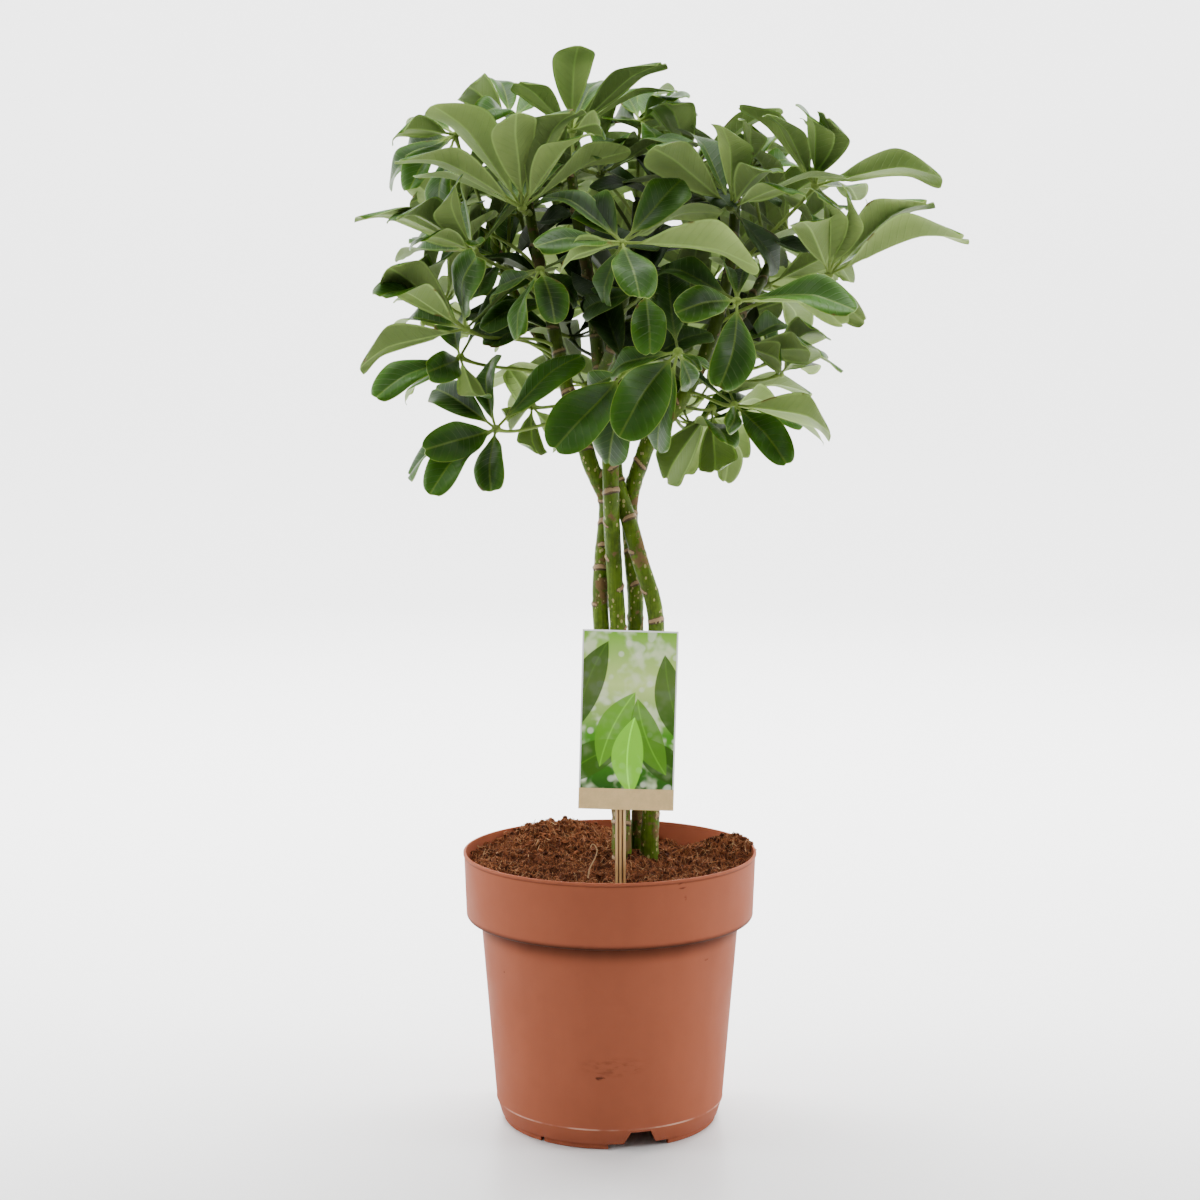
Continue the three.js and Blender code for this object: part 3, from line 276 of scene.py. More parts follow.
def tube_faces(rings, sides):
    """The faces of a closed tube whose rings turn anticlockwise as seen from its far end."""
    ring = np.arange(sides)[None, :]
    return [grid_faces(rings, sides), ring[:, ::-1], ring + (rings - 1) * sides]


def add_tube(shells, line, radius, sides, **values):
    """A closed tube round a line of points: at each, a circle of `radius` in the plane square to
    the line, laid out from a fixed direction that the line never comes near."""
    ways = unit(np.gradient(line, axis=0))
    fixed = np.eye(3)[np.abs(ways).max(0).argmin()]
    across = unit(np.cross(ways, fixed))
    rings = line[:, None] + circle(sides, across, np.cross(ways, across)) * radius[..., None]
    shells.add(rings, tube_faces(len(line), sides), **values)


def turns(count):
    """Even turns round a circle, in radians."""
    return 2 * np.pi * np.arange(count) / count


def circle(sides, first, second):
    """Directions round a circle: cos t first + sin t second."""
    turn = turns(sides)[:, None]
    return np.cos(turn) * first[..., None, :] + np.sin(turn) * second[..., None, :]


def arc(centre, radius, start, end, steps):
    """Points of an arc in a plane, between two angles in degrees."""
    turn = np.radians(np.linspace(start, end, steps + 1))
    return np.column_stack([np.cos(turn), np.sin(turn)]) * radius + centre


def even_line(line, step):
    """Points at even steps along a line of dense points."""
    lengths = np.concatenate([[0], np.cumsum(np.linalg.norm(np.diff(line, axis=0), axis=1))])
    marks = np.linspace(0, lengths[-1], max(2, round(lengths[-1] / step) + 1))
    return np.stack([np.interp(marks, lengths, line[:, k]) for k in range(3)], -1), marks


def lattice_noise(x, y, size, seed):
    """Random heights from -1 to 1 on a square lattice of `size`, blended smoothly between."""
    heights = np.random.default_rng(seed).uniform(-1, 1, (256, 256))
    u, v = x / size + 128, y / size + 128
    i, j = np.floor(u).astype(int), np.floor(v).astype(int)
    s, t = smooth_step(0, 1, u - i), smooth_step(0, 1, v - j)
    low = heights[i % 256, j % 256] * (1 - s) + heights[(i + 1) % 256, j % 256] * s
    high = heights[i % 256, (j + 1) % 256] * (1 - s) + heights[(i + 1) % 256, (j + 1) % 256] * s
    return low * (1 - t) + high * t


# ---------------------------------------------------------------- materials

class Value:
    """What a socket of a node tree puts out, to be worked with by the usual signs."""

    def __init__(self, graph, socket):
        self.graph, self.socket = graph, socket

    def out(self, name):
        """Another output of the same node."""
        return Value(self.graph, self.socket.node.outputs[name])

    def span(self, low, high, first=0.0, last=1.0):
        """`first` below `low` and `last` above `high`, with a smooth step between."""
        inputs = {0: self, 1: low, 2: high, 3: first, 4: last}
        return self.graph.node("MapRange", inputs, interpolation_type="SMOOTHSTEP")

    def __add__(self, other):
        return self.graph.math("ADD", self, other)

    def __sub__(self, other):
        return self.graph.math("SUBTRACT", self, other)

    def __rsub__(self, other):
        return self.graph.math("SUBTRACT", other, self)

    def __mul__(self, other):
        return self.graph.math("MULTIPLY", self, other)

    def __truediv__(self, other):
        return self.graph.math("DIVIDE", self, other)

    def __lt__(self, other):
        return self.graph.math("LESS_THAN", self, other)

    def __gt__(self, other):
        return self.graph.math("GREATER_THAN", self, other)

    def __abs__(self):
        return self.graph.math("ABSOLUTE", self)


class Graph:
    """Short calls for laying out the nodes of a tree."""

    def __init__(self, tree):
        self.tree = tree

    def put(self, value, socket):
        """Links a value to a socket, or sets a plain number, vector or opaque colour on it."""
        if isinstance(value, Value):
            self.tree.links.new(value.socket, socket)
        else:
            socket.default_value = (*value, 1.0) if socket.type == "RGBA" else value

    def node(self, kind, inputs, out=0, **settings):
        """A new node, as the value of one of its outputs."""
        node = self.tree.nodes.new(f"ShaderNode{kind}")
        for key, value in settings.items():
            setattr(node, key, value)
        for key, value in inputs.items():
            self.put(value, node.inputs[key])
        return Value(self, node.outputs[out])

    def math(self, operation, *values):
        return self.node("Math", dict(enumerate(values)), operation=operation)

    def most(self, first, second):
        return self.math("MAXIMUM", first, second)

    def least(self, first, second):
        return self.math("MINIMUM", first, second)

    def mix(self, share, first, last):
        return self.node("Mix", {0: share, 6: first, 7: last}, out=2, data_type="RGBA")

    def layers(self, base, *coats):
        """A base colour with coats of others laid over it in turn, each as (share, colour)."""
        for share, colour in coats:
            base = self.mix(share, base, colour)
        return base

    def ramp(self, value, *stops):
        """Colours at places from 0 to 1: the first and the last one, then those between."""
        ramp = self.node("ValToRGB", {0: value})
        elements = ramp.socket.node.color_ramp.elements
        for k, (place, colour) in enumerate(stops):
            element = elements[k] if k < 2 else elements.new(place)
            element.position, element.color = place, (*colour, 1.0)
        return ramp

    def place(self, stretch=(1, 1, 1)):
        """The place in the frame, in metres, stretched along each axis."""
        place = self.node("TexCoord", {}, "Object")
        return self.node("Mapping", {"Vector": place, "Scale": stretch})

    def noise(self, scale=1.0, detail=4.0, roughness=0.55, stretch=(1, 1, 1), place=None):
        return self.node("TexNoise", {"Vector": place or self.place(stretch), "Scale": scale,
                                      "Detail": detail, "Roughness": roughness})

    def dots(self, scale, channel, most, less, stretch=(1, 1, 1)):
        """1 in scattered dots of uneven size, many of them of none, and 0 between them."""
        cells = self.node("TexVoronoi", {"Scale": scale, "Vector": self.place(stretch)})
        chance = self.node("SeparateColor", {0: cells.out("Color")}, channel)
        return cells < chance * most - less

    def attributes(self, *names):
        return [self.node("Attribute", {}, "Fac", attribute_name=name) for name in names]

    def group(self, build, **inputs):
        """A node group with its own values, built once by the function of its name."""
        tree = bpy.data.node_groups.get(build.__name__) or build()
        return self.node("Group", inputs, node_tree=tree)

    def surface(self, colour, rough, shine=0.5, fine=None, height=0.0):
        """Ends a material with its shader. `fine` is the scale and the depth of its grain."""
        inputs = {"Base Color": colour, "Roughness": rough, "Specular IOR Level": shine}
        if fine:
            inputs["Normal"] = self.group(grain, Scale=fine[0], Depth=fine[1], Height=height)
        shader = self.node("BsdfPrincipled", inputs)
        self.put(shader, self.tree.nodes.new("ShaderNodeOutputMaterial").inputs["Surface"])


def new_material(name):
    """An empty material and its graph."""
    material = bpy.data.materials.new(name)
    material.use_nodes = True
    material.node_tree.nodes.clear()
    return material, Graph(material.node_tree)


def new_group(name, given, made):
    """A node group: its graph, its inputs as values, and the sockets that its outputs go to."""
    tree = bpy.data.node_groups.new(name, "ShaderNodeTree")
    for direction, sockets in (("INPUT", given), ("OUTPUT", made)):
        for socket, kind in sockets.items():
            tree.interface.new_socket(socket, in_out=direction, socket_type=f"NodeSocket{kind}")
    graph = Graph(tree)
    start, end = tree.nodes.new("NodeGroupInput"), tree.nodes.new("NodeGroupOutput")
    return graph, [Value(graph, socket) for socket in start.outputs[:len(given)]], end.inputs


def mottle():
    """Uneven colour: cloudy patches of a second colour, broken by finer ones."""
    graph, (colour, patches, scale, amount), made = new_group(
        "mottle", {"Colour": "Color", "Patches": "Color", "Scale": "Float", "Amount": "Float"},
        {"Colour": "Color"})
    both = graph.noise(scale, detail=3.0) * 0.7 + graph.noise(scale * 6.0, detail=2.0) * 0.3
    graph.put(graph.mix(both.span(0.38, 0.62) * amount, colour, patches), made["Colour"])
    return graph.tree


def grain():
    """Fine unevenness of a surface, as a normal: noise of one scale, raised by a depth in metres
    and added to whatever height is given."""
    graph, (scale, depth, height), made = new_group(
        "grain", {"Scale": "Float", "Depth": "Float", "Height": "Float"}, {"Normal": "Vector"})
    bump = {"Height": graph.noise(scale) * depth + height, "Strength": 1.0, "Distance": 1.0}
    graph.put(graph.node("Bump", bump), made["Normal"])
    return graph.tree


# ---------------------------------------------------------------- pot

class PotSettings(bpy.types.PropertyGroup):
    """What a user may change on the pot."""

    colour: FloatVectorProperty(
        name="Plastic", description="Colour of the terracotta-coloured plastic",
        subtype="COLOR", default=(0.285, 0.082, 0.042), min=0, max=1)
    roughness: FloatProperty(
        name="Roughness", description="How matt the plastic is",
        default=0.6, min=0, max=1, subtype="FACTOR")
    segments: IntProperty(
        name="Segments", description="Flat steps round the pot", default=192, min=48, max=512)


def inner_line(spare=0.0):
    """The pot's inside from its floor up to its collar, as (radius, height), drawn in by
    `spare` for what fills it."""
    wall = POT_WALL + spare
    shelf = COLLAR_FOOT_Z + wall
    return [(BODY_FOOT_RADIUS - wall - INNER_ROUND, FLOOR_TOP_Z + spare),
            (BODY_FOOT_RADIUS - wall, FLOOR_TOP_Z + 2 * INNER_ROUND),
            (BODY_TOP_RADIUS - wall, COLLAR_FOOT_Z - INNER_ROUND),
            (BODY_TOP_RADIUS - wall + INNER_ROUND, shelf),
            (COLLAR_FOOT_RADIUS - wall - INNER_ROUND, shelf),
            (COLLAR_FOOT_RADIUS - wall, shelf + INNER_ROUND)]


def pot_profile():
    """The pot's section, from the middle of the floor's underside, up the outside, over the lip
    and down the inside to the middle of the floor, with its corners as arcs."""
    ring_inner = FOOT_RING_RADIUS - FOOT_RING_WIDTH
    floor_under = FLOOR_TOP_Z - POT_FLOOR
    edge = 0.4  # radius of the small roundings at the foot
    outside = [
        (0, floor_under), (ring_inner, floor_under), (ring_inner, edge),
        (ring_inner + edge, 0), (FOOT_RING_RADIUS - edge, 0), (FOOT_RING_RADIUS, edge),
        (FOOT_RING_RADIUS, WALL_EDGE_Z), (WALL_EDGE_RADIUS - edge, WALL_EDGE_Z),
        (WALL_EDGE_RADIUS, WALL_EDGE_Z + edge),
        (BODY_FOOT_RADIUS - 0.55, RIDGE_Z - RIDGE_ROUND),
        (BODY_FOOT_RADIUS - 0.1, RIDGE_Z - 0.4), (BODY_FOOT_RADIUS + 0.1, RIDGE_Z),
        (BODY_FOOT_RADIUS, RIDGE_Z + RIDGE_ROUND),
        (BODY_TOP_RADIUS - 0.1, COLLAR_FOOT_Z - 0.8), (BODY_TOP_RADIUS + 0.7, COLLAR_FOOT_Z),
    ]
    corner = (COLLAR_FOOT_RADIUS - COLLAR_ROUND, COLLAR_FOOT_Z + COLLAR_ROUND)
    lip = (POT_RIM_RADIUS - LIP_ROUND, POT_HEIGHT - LIP_ROUND)
    bead = [(POT_RIM_RADIUS - 0.55, POT_HEIGHT - 2.2), (POT_RIM_RADIUS, POT_HEIGHT - 1.5)]
    return np.array([
        *outside, *arc(corner, COLLAR_ROUND, -90, 0, 7), *bead, *arc(lip, LIP_ROUND, 0, 90, 4),
        (POT_RIM_RADIUS - POT_WALL, POT_HEIGHT - 0.1), *inner_line()[::-1], (0, FLOOR_TOP_Z)])


def prism(outline, low, high, turn):
    """A closed prism of an outline in X and Y between two heights, turned about the Z axis."""
    cos, sin = math.cos(turn), math.sin(turn)
    outline = np.asarray(outline) @ np.array([[cos, sin], [-sin, cos]])
    rings = [np.column_stack([outline, np.full(len(outline), z)]) for z in (low, high)]
    return np.concatenate(rings), tube_faces(2, len(outline))


def plank(half, far, near):
    """The outline of a plank that points to the front, between two distances from the axis."""
    return [(-half, -far), (half, -far), (half, -near), (-half, -near)]


def drain_cutters():
    """What is cut out of the foot: three wedge notches, the gaps in the foot ring beside them,
    and three narrow slots through the ring."""
    past = 1.0
    inner, ring, outer = FOOT_RING_RADIUS - 6, FOOT_RING_RADIUS + past, BODY_FOOT_RADIUS + past
    turn = np.linspace(-math.pi / 2 - FOOT_GAP_HALF, -math.pi / 2 + FOOT_GAP_HALF, 9)
    ways = np.column_stack([np.cos(turn), np.sin(turn)])
    gap = np.concatenate([ring * ways, inner * ways[::-1]])
    slope = (NOTCH_WIDTH_LOW - NOTCH_WIDTH_HIGH) / 2 / (NOTCH_TOP_Z - WALL_EDGE_Z)
    low = NOTCH_WIDTH_LOW / 2 + slope * (WALL_EDGE_Z + past)
    notches, gaps, slots = Shells(), Shells(), Shells()
    for k in range(NOTCH_COUNT):
        turn = NOTCH_TURN + 2 * math.pi * k / NOTCH_COUNT
        points, faces = prism(plank(low, outer, inner), -past, NOTCH_TOP_Z, turn)
        across = np.array([math.cos(turn), math.sin(turn), 0])
        top = points[4:]
        top -= np.outer(np.sign(top @ across) * (low - NOTCH_WIDTH_HIGH / 2), across)
        notches.add(points, faces)
        gaps.add(*prism(gap, -past, WALL_EDGE_Z, turn))
        slots.add(*prism(plank(SLOT_WIDTH / 2, ring, inner), -past, WALL_EDGE_Z - 0.1,
                         turn + SLOT_TURN))
    return notches, gaps, slots


def cut_drains(mesh):
    """Takes each set of cutters out of the pot's mesh."""
    pot = in_scene("uncut_pot", mesh)
    cutters = [in_scene("cutter", shells.mesh("cutter")) for shells in drain_cutters()]
    for cutter in cutters:
        modifier = pot.modifiers.new("drain", "BOOLEAN")
        modifier.operation, modifier.solver, modifier.object = "DIFFERENCE", "EXACT", cutter
    cut_pot = pot.evaluated_get(bpy.context.evaluated_depsgraph_get())
    cut = bpy.data.meshes.new_from_object(cut_pot)
    for leftover in (pot, *cutters):
        bpy.data.objects.remove(leftover)
    cut.name = "plastic_pot"
    return cut


POT_MARKS = [  # rubbed or dirty places on the front: (middle, reach, strength)
    ((2, -78, 55), (22, 30, 7), 0.38), ((-6, -78, 48), (3.4, 20, 1.8), 1.7),
    ((44, -86, 171), (3.4, 8, 2.4), 1.9),
    ((46, -87, 163), (1.4, 8, 2.6), 0.9), ((60, -60, 118), (2, 8, 1.6), 1.2),
]


def pot_material(settings):
    """Moulded plastic: faint vertical flow streaks, a fine matt grain, painted shade in the corner
    under the collar and in a line under the lip bead, scattered specks of soil, one scuff low on
    the front, and a painted highlight along the foot ridge."""
    material, graph = new_material("terracotta_plastic")
    plastic, rough = np.array(settings.colour), settings.roughness
    streaks = graph.noise(stretch=(70, 70, 2.5), detail=3.0).span(0.35, 0.75, 0.0, 0.22)
    specks = graph.dots(62.0, 0, 0.13, 0.09) * 0.75
    coats = [(streaks, plastic * 0.86), (specks, (0.09, 0.035, 0.02))]
    place = graph.node("SeparateXYZ", {0: graph.place()})
    x, y, z = (place.out(k) - foot for k, foot in enumerate(POT_FOOT))
    patchy = graph.noise(stretch=(160, 160, 420)).span(0.42, 0.66)
    for middle, reach, share in POT_MARKS:
        off = [(at - m * MM) / (r * MM) for at, m, r in zip((x, y, z), middle, reach)]
        far = off[0] * off[0] + off[1] * off[1] + off[2] * off[2]
        coats.append((far.span(0.1, 1.2, share, 0.0) * patchy, plastic * 0.3))
    # a painted highlight: a pale line along the foot ridge
    ridge = abs(z - (RIDGE_Z + 0.4) * MM).span(0.0002, 0.0008, 0.5, 0.0)
    painted_ridge_highlight = ridge * graph.noise(stretch=(24, 24, 2)).span(0.35, 0.6)
    out = graph.math("SQRT", x * x + y * y)
    # painted shade under the collar: the body just below it, its underside and its lower corner
    foot = COLLAR_FOOT_Z * MM
    body = z.span(foot - 0.013, foot - 0.0002, 0.0, 0.78)
    under = out.span((BODY_TOP_RADIUS + 0.3) * MM, (BODY_TOP_RADIUS + 2.0) * MM, 0.0, 0.9)
    corner = graph.most(body, under) * (out > (BODY_FOOT_RADIUS - POT_WALL) * MM)
    corner = corner * z.span(foot + 0.0006, foot + 0.0042, 1.0, 0.0) * (z > foot - 0.016)
    # painted shade: a dark line under the bead below the lip
    lip = abs(z - (POT_HEIGHT - 2.1) * MM).span(0.0002, 0.0010, 0.45, 0.0)
    lip = lip * (out > (POT_RIM_RADIUS - POT_WALL * 0.7) * MM)
    base = graph.group(mottle, Colour=plastic, Patches=plastic * 1.1, Scale=14.0, Amount=0.6)
    # the last two coats are painted light: a highlight on the ridge, shade under collar and lip
    colour = graph.layers(base, *coats, (painted_ridge_highlight, (0.80, 0.50, 0.38)),
                          (graph.most(corner, lip), plastic * 0.06))
    graph.surface(colour, graph.noise(22.0).span(0.3, 0.7, rough - 0.05, rough + 0.07), shine=0.05,
                  fine=(1400.0, 0.00002), height=graph.noise(stretch=(26, 26, 3)) * 0.00025)
    return material


class PLANT_OT_pot(bpy.types.Operator):
    """Build the plastic pot with its collar, foot ring and drain notches"""

    bl_idname = "umbrella_plant.pot"
    bl_label = "Plastic pot"

    def execute(self, context):
        settings = context.scene.plant_pot
        shell = Shells()
        shell.add(*lathe(pot_profile(), settings.segments))
        mesh = cut_drains(shell.mesh("pot_shell"))
        finished(mesh, pot_material(settings), "pot", "pot", sharp=32)
        return {"FINISHED"}


# ---------------------------------------------------------------- soil

class SoilSettings(bpy.types.PropertyGroup):
    """What a user may change on the soil."""

    dark: FloatVectorProperty(
        name="Dark coir", description="Colour of moist coir",
        subtype="COLOR", default=(0.050, 0.015, 0.006), min=0, max=1)
    light: FloatVectorProperty(
        name="Dry coir", description="Colour of coir that has dried on top",
        subtype="COLOR", default=(0.20, 0.067, 0.027), min=0, max=1)
    crumbs: IntProperty(
        name="Crumbs", description="Loose crumbs on the soil", default=3000, min=0, max=6000)
    fibres: IntProperty(
        name="Fibres", description="Loose fibres on the soil", default=6000, min=0, max=6200)


def soil_level(x, y):
    """The level of the soil: nearly at the rim, with two crossing waves, round heaps of the form
    h exp(-d^2 / r^2), and clods with creases between them, from folded noise |n| of falling
    sizes."""
    level = SOIL_LEVEL + 0.8 * np.sin(x * 0.21) * np.cos(y * 0.17)
    level = level + 0.6 * np.sin(x * 0.09 + y * 0.13)
    for cx, cy, radius, height in SOIL_HEAPS:
        level = level + height * np.exp(-((x - cx) ** 2 + (y - cy) ** 2) / radius ** 2)
    rough = 2.0 * lattice_noise(x, y, 15, 1)
    for size, height, seed in ((7, 2.8, 2), (3.4, 1.8, 3), (1.7, 0.9, 4)):
        rough = rough + height * (0.45 - np.abs(lattice_noise(x, y, size, seed)) * 1.6)
    return level + rough


def add_soil(shells):
    """The mass of soil: its wall a little inside the pot, and its top a disc of rings."""
    columns, rows = 400, 132
    side = np.array(inner_line(GAP))
    top = SOIL_RADIUS * (1 - np.linspace(0, 1, rows + 1)[:-1])
    radii, turn = np.concatenate([side[:, 0], top])[:, None], turns(columns)
    x, y = radii * np.cos(turn), radii * np.sin(turn)
    z = soil_level(x, y)
    z[:len(side)] = side[:, 1:]
    z[len(side):] -= SLUMP * np.exp(-(SOIL_RADIUS - top) / SLUMP_REACH)[:, None]
    ends = (0, 0, FLOOR_TOP_Z + GAP), (0, 0, soil_level(0.0, 0.0))
    shells.add(*closed_rings(np.stack([x, y, z], -1), *ends), tint=0.35)


def icosahedron():
    """The 12 corners and 20 faces of an icosahedron, from its three golden rectangles: a face is
    three corners that all lie 2 apart."""
    golden = (1 + math.sqrt(5)) / 2
    flat = [(s, t * golden, 0) for s in (-1, 1) for t in (-1, 1)]
    corners = np.array([np.roll(p, k) for k in range(3) for p in flat], float)
    faces = np.array(list(combinations(range(12), 3)))
    sides = corners[faces] - corners[np.roll(faces, 1, 1)]
    faces = faces[(np.linalg.norm(sides, axis=-1) < 2.1).all(1)]
    inward = np.linalg.det(corners[faces]) < 0
    faces[inward] = faces[inward][:, ::-1]
    return corners / np.linalg.norm(corners[0]), faces


def copies(faces, count, size):
    """The faces of a shell of `size` points, for each of `count` copies of it."""
    starts = size * np.arange(count)[:, None, None]
    return [(starts + block).reshape(-1, block.shape[1]) for block in faces]


def on_soil(chance, count, reach=0.0):
    """Random places on the soil, even over its disc, with one in seven of them thrown round the
    two high heaps, where they may lie on the rim and past it by `reach`."""
    turn = chance.uniform(0, 2 * np.pi, count)
    radius = (POT_RIM_RADIUS - POT_WALL - 1.5) * np.sqrt(chance.uniform(0, 1, count))
    x, y = radius * np.cos(turn), radius * np.sin(turn)
    heap = chance.integers(0, 14, count)
    for k in (0, 1):
        cx, cy, spread, _ = SOIL_HEAPS[k]
        thrown = heap == k
        x = np.where(thrown, cx + chance.normal(0, spread * 0.45, count), x)
        y = np.where(thrown, cy + chance.normal(0, spread * 0.45, count), y)
    limit = POT_RIM_RADIUS - POT_WALL - 1.5 + np.where(heap == 1, reach, 0)
    inwards = np.minimum(1, limit / np.hypot(x, y))
    return x * inwards, y * inwards


def add_crumbs(shells, count, chance):
    """Crumbs: icosahedra with shaken corners, each stretched and turned at random, and sunk by a
    part of its size."""
    corners, faces = icosahedron()
    x, y = on_soil(chance, count, reach=3.5)
    size = 0.5 + 2.0 * chance.beta(1.1, 4.0, count)
    shape = corners * chance.uniform(0.72, 1.25, (count, 12, 1))
    shape = shape * chance.uniform(0.6, 1.35, (count, 1, 3))
    turned, _ = np.linalg.qr(chance.normal(size=(count, 3, 3)))
    turned = turned * np.sign(np.linalg.det(turned))[:, None, None]
    points = np.einsum("nij,nkj->nki", turned, shape) * size[:, None, None]
    middle = np.stack([x, y, soil_level(x, y) + 0.35 * size], -1)
    tint = chance.uniform(0.2, 1, count)[:, None]
    shells.add(points + middle[:, None], copies([faces], count, 12), tint=tint)


def add_fibres(shells, count, chance):
    """Fibres: three-sided tubes along short bent lines that lie on the soil, with lifted ends:
    p(s) = start + s * way + bend * sin(pi s) * side + lift * (2s - 1)^2 * up."""
    x, y = on_soil(chance, count)
    s, level = np.linspace(0, 1, 6), np.zeros(count)
    heading = chance.uniform(0, 2 * np.pi, count)
    length = 3 + 13 * chance.beta(1.1, 3.2, count)
    bend = chance.normal(0, 0.22, count) * length
    lift = np.abs(chance.normal(0, 0.10, count)) * length + 0.2
    way = np.stack([np.cos(heading), np.sin(heading), level], -1)
    side = np.stack([-np.sin(heading), np.cos(heading), level], -1)
    line = (np.stack([x, y, level], -1)[:, None]
            + way[:, None] * ((s - 0.5) * length[:, None])[..., None]
            + side[:, None] * (bend[:, None] * np.sin(np.pi * s))[..., None])
    reach = np.linalg.norm(line[..., :2], axis=-1, keepdims=True)
    line[..., :2] *= np.minimum(1, SOIL_RADIUS / np.maximum(reach, 1e-6))
    ground = soil_level(line[..., 0], line[..., 1]) + 0.5
    line[..., 2] = ground + lift[:, None] * (2 * s - 1) ** 2
    thick = chance.uniform(0.08, 0.27, count)[:, None] * (1 - 0.6 * s ** 3)
    rings = circle(3, side[:, None], np.array([0, 0, 1.0])) * thick[:, :, None, None]
    tint = 1.0 + chance.beta(1.0, 2.2, count)[:, None, None]
    shells.add(line[:, :, None] + rings, copies(tube_faces(6, 3), count, 18), tint=tint)


def add_root(shells):
    """A pale root that stands out of the soil in a hook, in front of the stems."""
    hook = [(588, 878), (590, 868), (595, 858), (597, 850), (593, 844), (590, 848)]
    line, along = even_line(smooth_line([seen_at(*place, -62) for place in hook]), 0.8)
    add_tube(shells, line, (0.5 - 0.25 * along / along[-1])[:, None], 8, tint=1.95)


def soil_material(settings):
    """Coir: dark and light grains of two sizes, with straw-coloured fibres, and matt."""
    material, graph = new_material("coir")
    dark, light = np.array(settings.dark), np.array(settings.light)
    (tint,) = graph.attributes("tint")
    cloudy = graph.noise(70.0, detail=5.0, roughness=0.7)
    grains = graph.noise(520.0, detail=3.0, roughness=0.7)
    shade = cloudy * 0.5 + grains * 0.5 - 0.15 + graph.least(tint, 1.0) * 0.3
    coir = graph.ramp(shade, (0.30, dark * 0.45), (0.86, light * 1.45), (0.46, dark),
                      (0.57, (dark + light) * 0.5), (0.7, light))
    straw = graph.ramp(tint - 1.0, (0.0, dark * 1.5), (1.0, (0.50, 0.33, 0.18)),
                       (0.2, light * 1.1), (0.55, (0.31, 0.135, 0.06)))
    graph.surface(graph.mix(tint > 1.0, coir, straw), grains.span(0.3, 0.7, 0.78, 0.95), shine=0.1,
                  fine=(900.0, 0.0004), height=cloudy * 0.0012)
    return material


class PLANT_OT_soil(bpy.types.Operator):
    """Build the coir soil with its clods, crumbs and fibres"""

    bl_idname = "umbrella_plant.soil"
    bl_label = "Coir soil"

    def execute(self, context):
        settings = context.scene.plant_soil
        chance = np.random.default_rng(11)
        material = soil_material(settings)
        mass, loose = Shells(), Shells()
        add_soil(mass)
        add_crumbs(mass, settings.crumbs, chance)
        add_root(mass)
        mass.piece("coir_soil", material, "soil", "soil")
        add_fibres(loose, settings.fibres, chance)
        loose.piece("coir_fibres", material, "soil")
        return {"FINISHED"}


# ---------------------------------------------------------------- stems

class StemSettings(bpy.types.PropertyGroup):
    """What a user may change on the stems."""

    green: FloatVectorProperty(
        name="Bark", description="Colour of the green bark",
        subtype="COLOR", default=(0.066, 0.108, 0.008), min=0, max=1)
    scar: FloatVectorProperty(
        name="Leaf scars", description="Colour of the rings that old leaves left",
        subtype="COLOR", default=(0.34, 0.225, 0.125), min=0, max=1)
    sides: IntProperty(
        name="Sides", description="Flat steps round a stem", default=26, min=8, max=64)


# Centre lines from the root ball up through the braid and into the crown.
STEMS = {
    "A": [(6, -12, 118), (7.8, -9, 172), (8, -6.5, 200), (8, -3.5, 222), (7, 4, 243),
          (3, 8, 265), (-3, 5, 290), (-5.1, 0, 318), (-6, 1, 338), (-5, 7, 362),
          (-2.5, 6, 388), (-3, 5, 402), (-12, 1, 423), (-17, 0, 440), (-28, -4, 475),
          (-38, -8, 520), (-46, -10, 560), (-52, -8, 592)],
    "B": [(4, 10, 118), (7, 7, 172), (6.5, 8, 200), (2, 8.5, 221), (-4.5, 4.5, 238),
          (-4.5, -3, 252), (0.5, -7, 268), (4.5, -6, 290), (5.3, -4.5, 318), (4.2, -4, 338),
          (2.6, -4, 362), (1, -8, 388),
          (0.5, -13, 405), (0, -13, 423), (-1, -13, 440), (-6, -18, 480), (-12, -24, 530),
          (-20, -24, 575), (-24, -18, 604)],
    "C": [(32, -7, 118), (25.8, -5, 172), (26.5, -5, 200), (27, -5, 240), (23.5, -6, 265),
          (18, -2, 290), (16.4, 3.5, 318), (16.2, 4, 338), (14.2, 4.5, 362), (12.7, 7, 388),
          (13.8, 5.5, 405), (19.3, 1, 423), (26, -3, 440), (45, -8, 465), (62, -14, 500),
          (74, -18, 545), (78, -12, 592)],
    "D": [(22, 16, 118), (19.5, 12, 172), (19.5, 12, 200), (19, 10.5, 240), (22.5, 8, 265),
          (27.5, 5, 290), (29.4, -3, 318), (27, -7, 338), (19.5, -9, 362), (12.2, -5.5, 388),
          (6.2, -2, 405), (2.5, 2.5, 423), (4, 8, 440), (8, 22, 480), (14, 34, 530),
          (18, 44, 592)],
}
BRANCHES = {
    "A2": [(-28, -4, 475), (-46, 22, 505), (-66, 46, 540), (-76, 56, 568)],
    "B2": [(-6, -18, 480), (4, -40, 505), (10, -60, 535)],
    "C2": [(62, -14, 500), (86, 10, 522), (106, 36, 556)],
    "D2": [(8, 22, 480), (4, 52, 512), (-8, 84, 548)],
}
LIMBS = {**STEMS, **BRANCHES}
CROWN_FOOT_Z = 430  # above this the stems taper
LOWEST_STALK_Z = 400  # below this no stalk or leaflet comes near a stem


def limb_radius(name, z):
    """The radius of a limb at a height: stems swell at the soil and taper through the crown."""
    top = LIMBS[name][-1][2]
    if name in BRANCHES:
        foot = LIMBS[name][0][2]
        return BRANCH_RADIUS + (STEM_TIP_RADIUS - BRANCH_RADIUS) * (z - foot) / (top - foot)
    swell = STEM_RADIUS + STEM_SWELL * np.maximum(0, 1 - (z - STEM_FOOT_Z) / SWELL_HEIGHT)
    share = (z - CROWN_FOOT_Z) / (top - CROWN_FOOT_Z)
    return np.where(z > CROWN_FOOT_Z, STEM_RADIUS + (STEM_TIP_RADIUS - STEM_RADIUS) * share, swell)


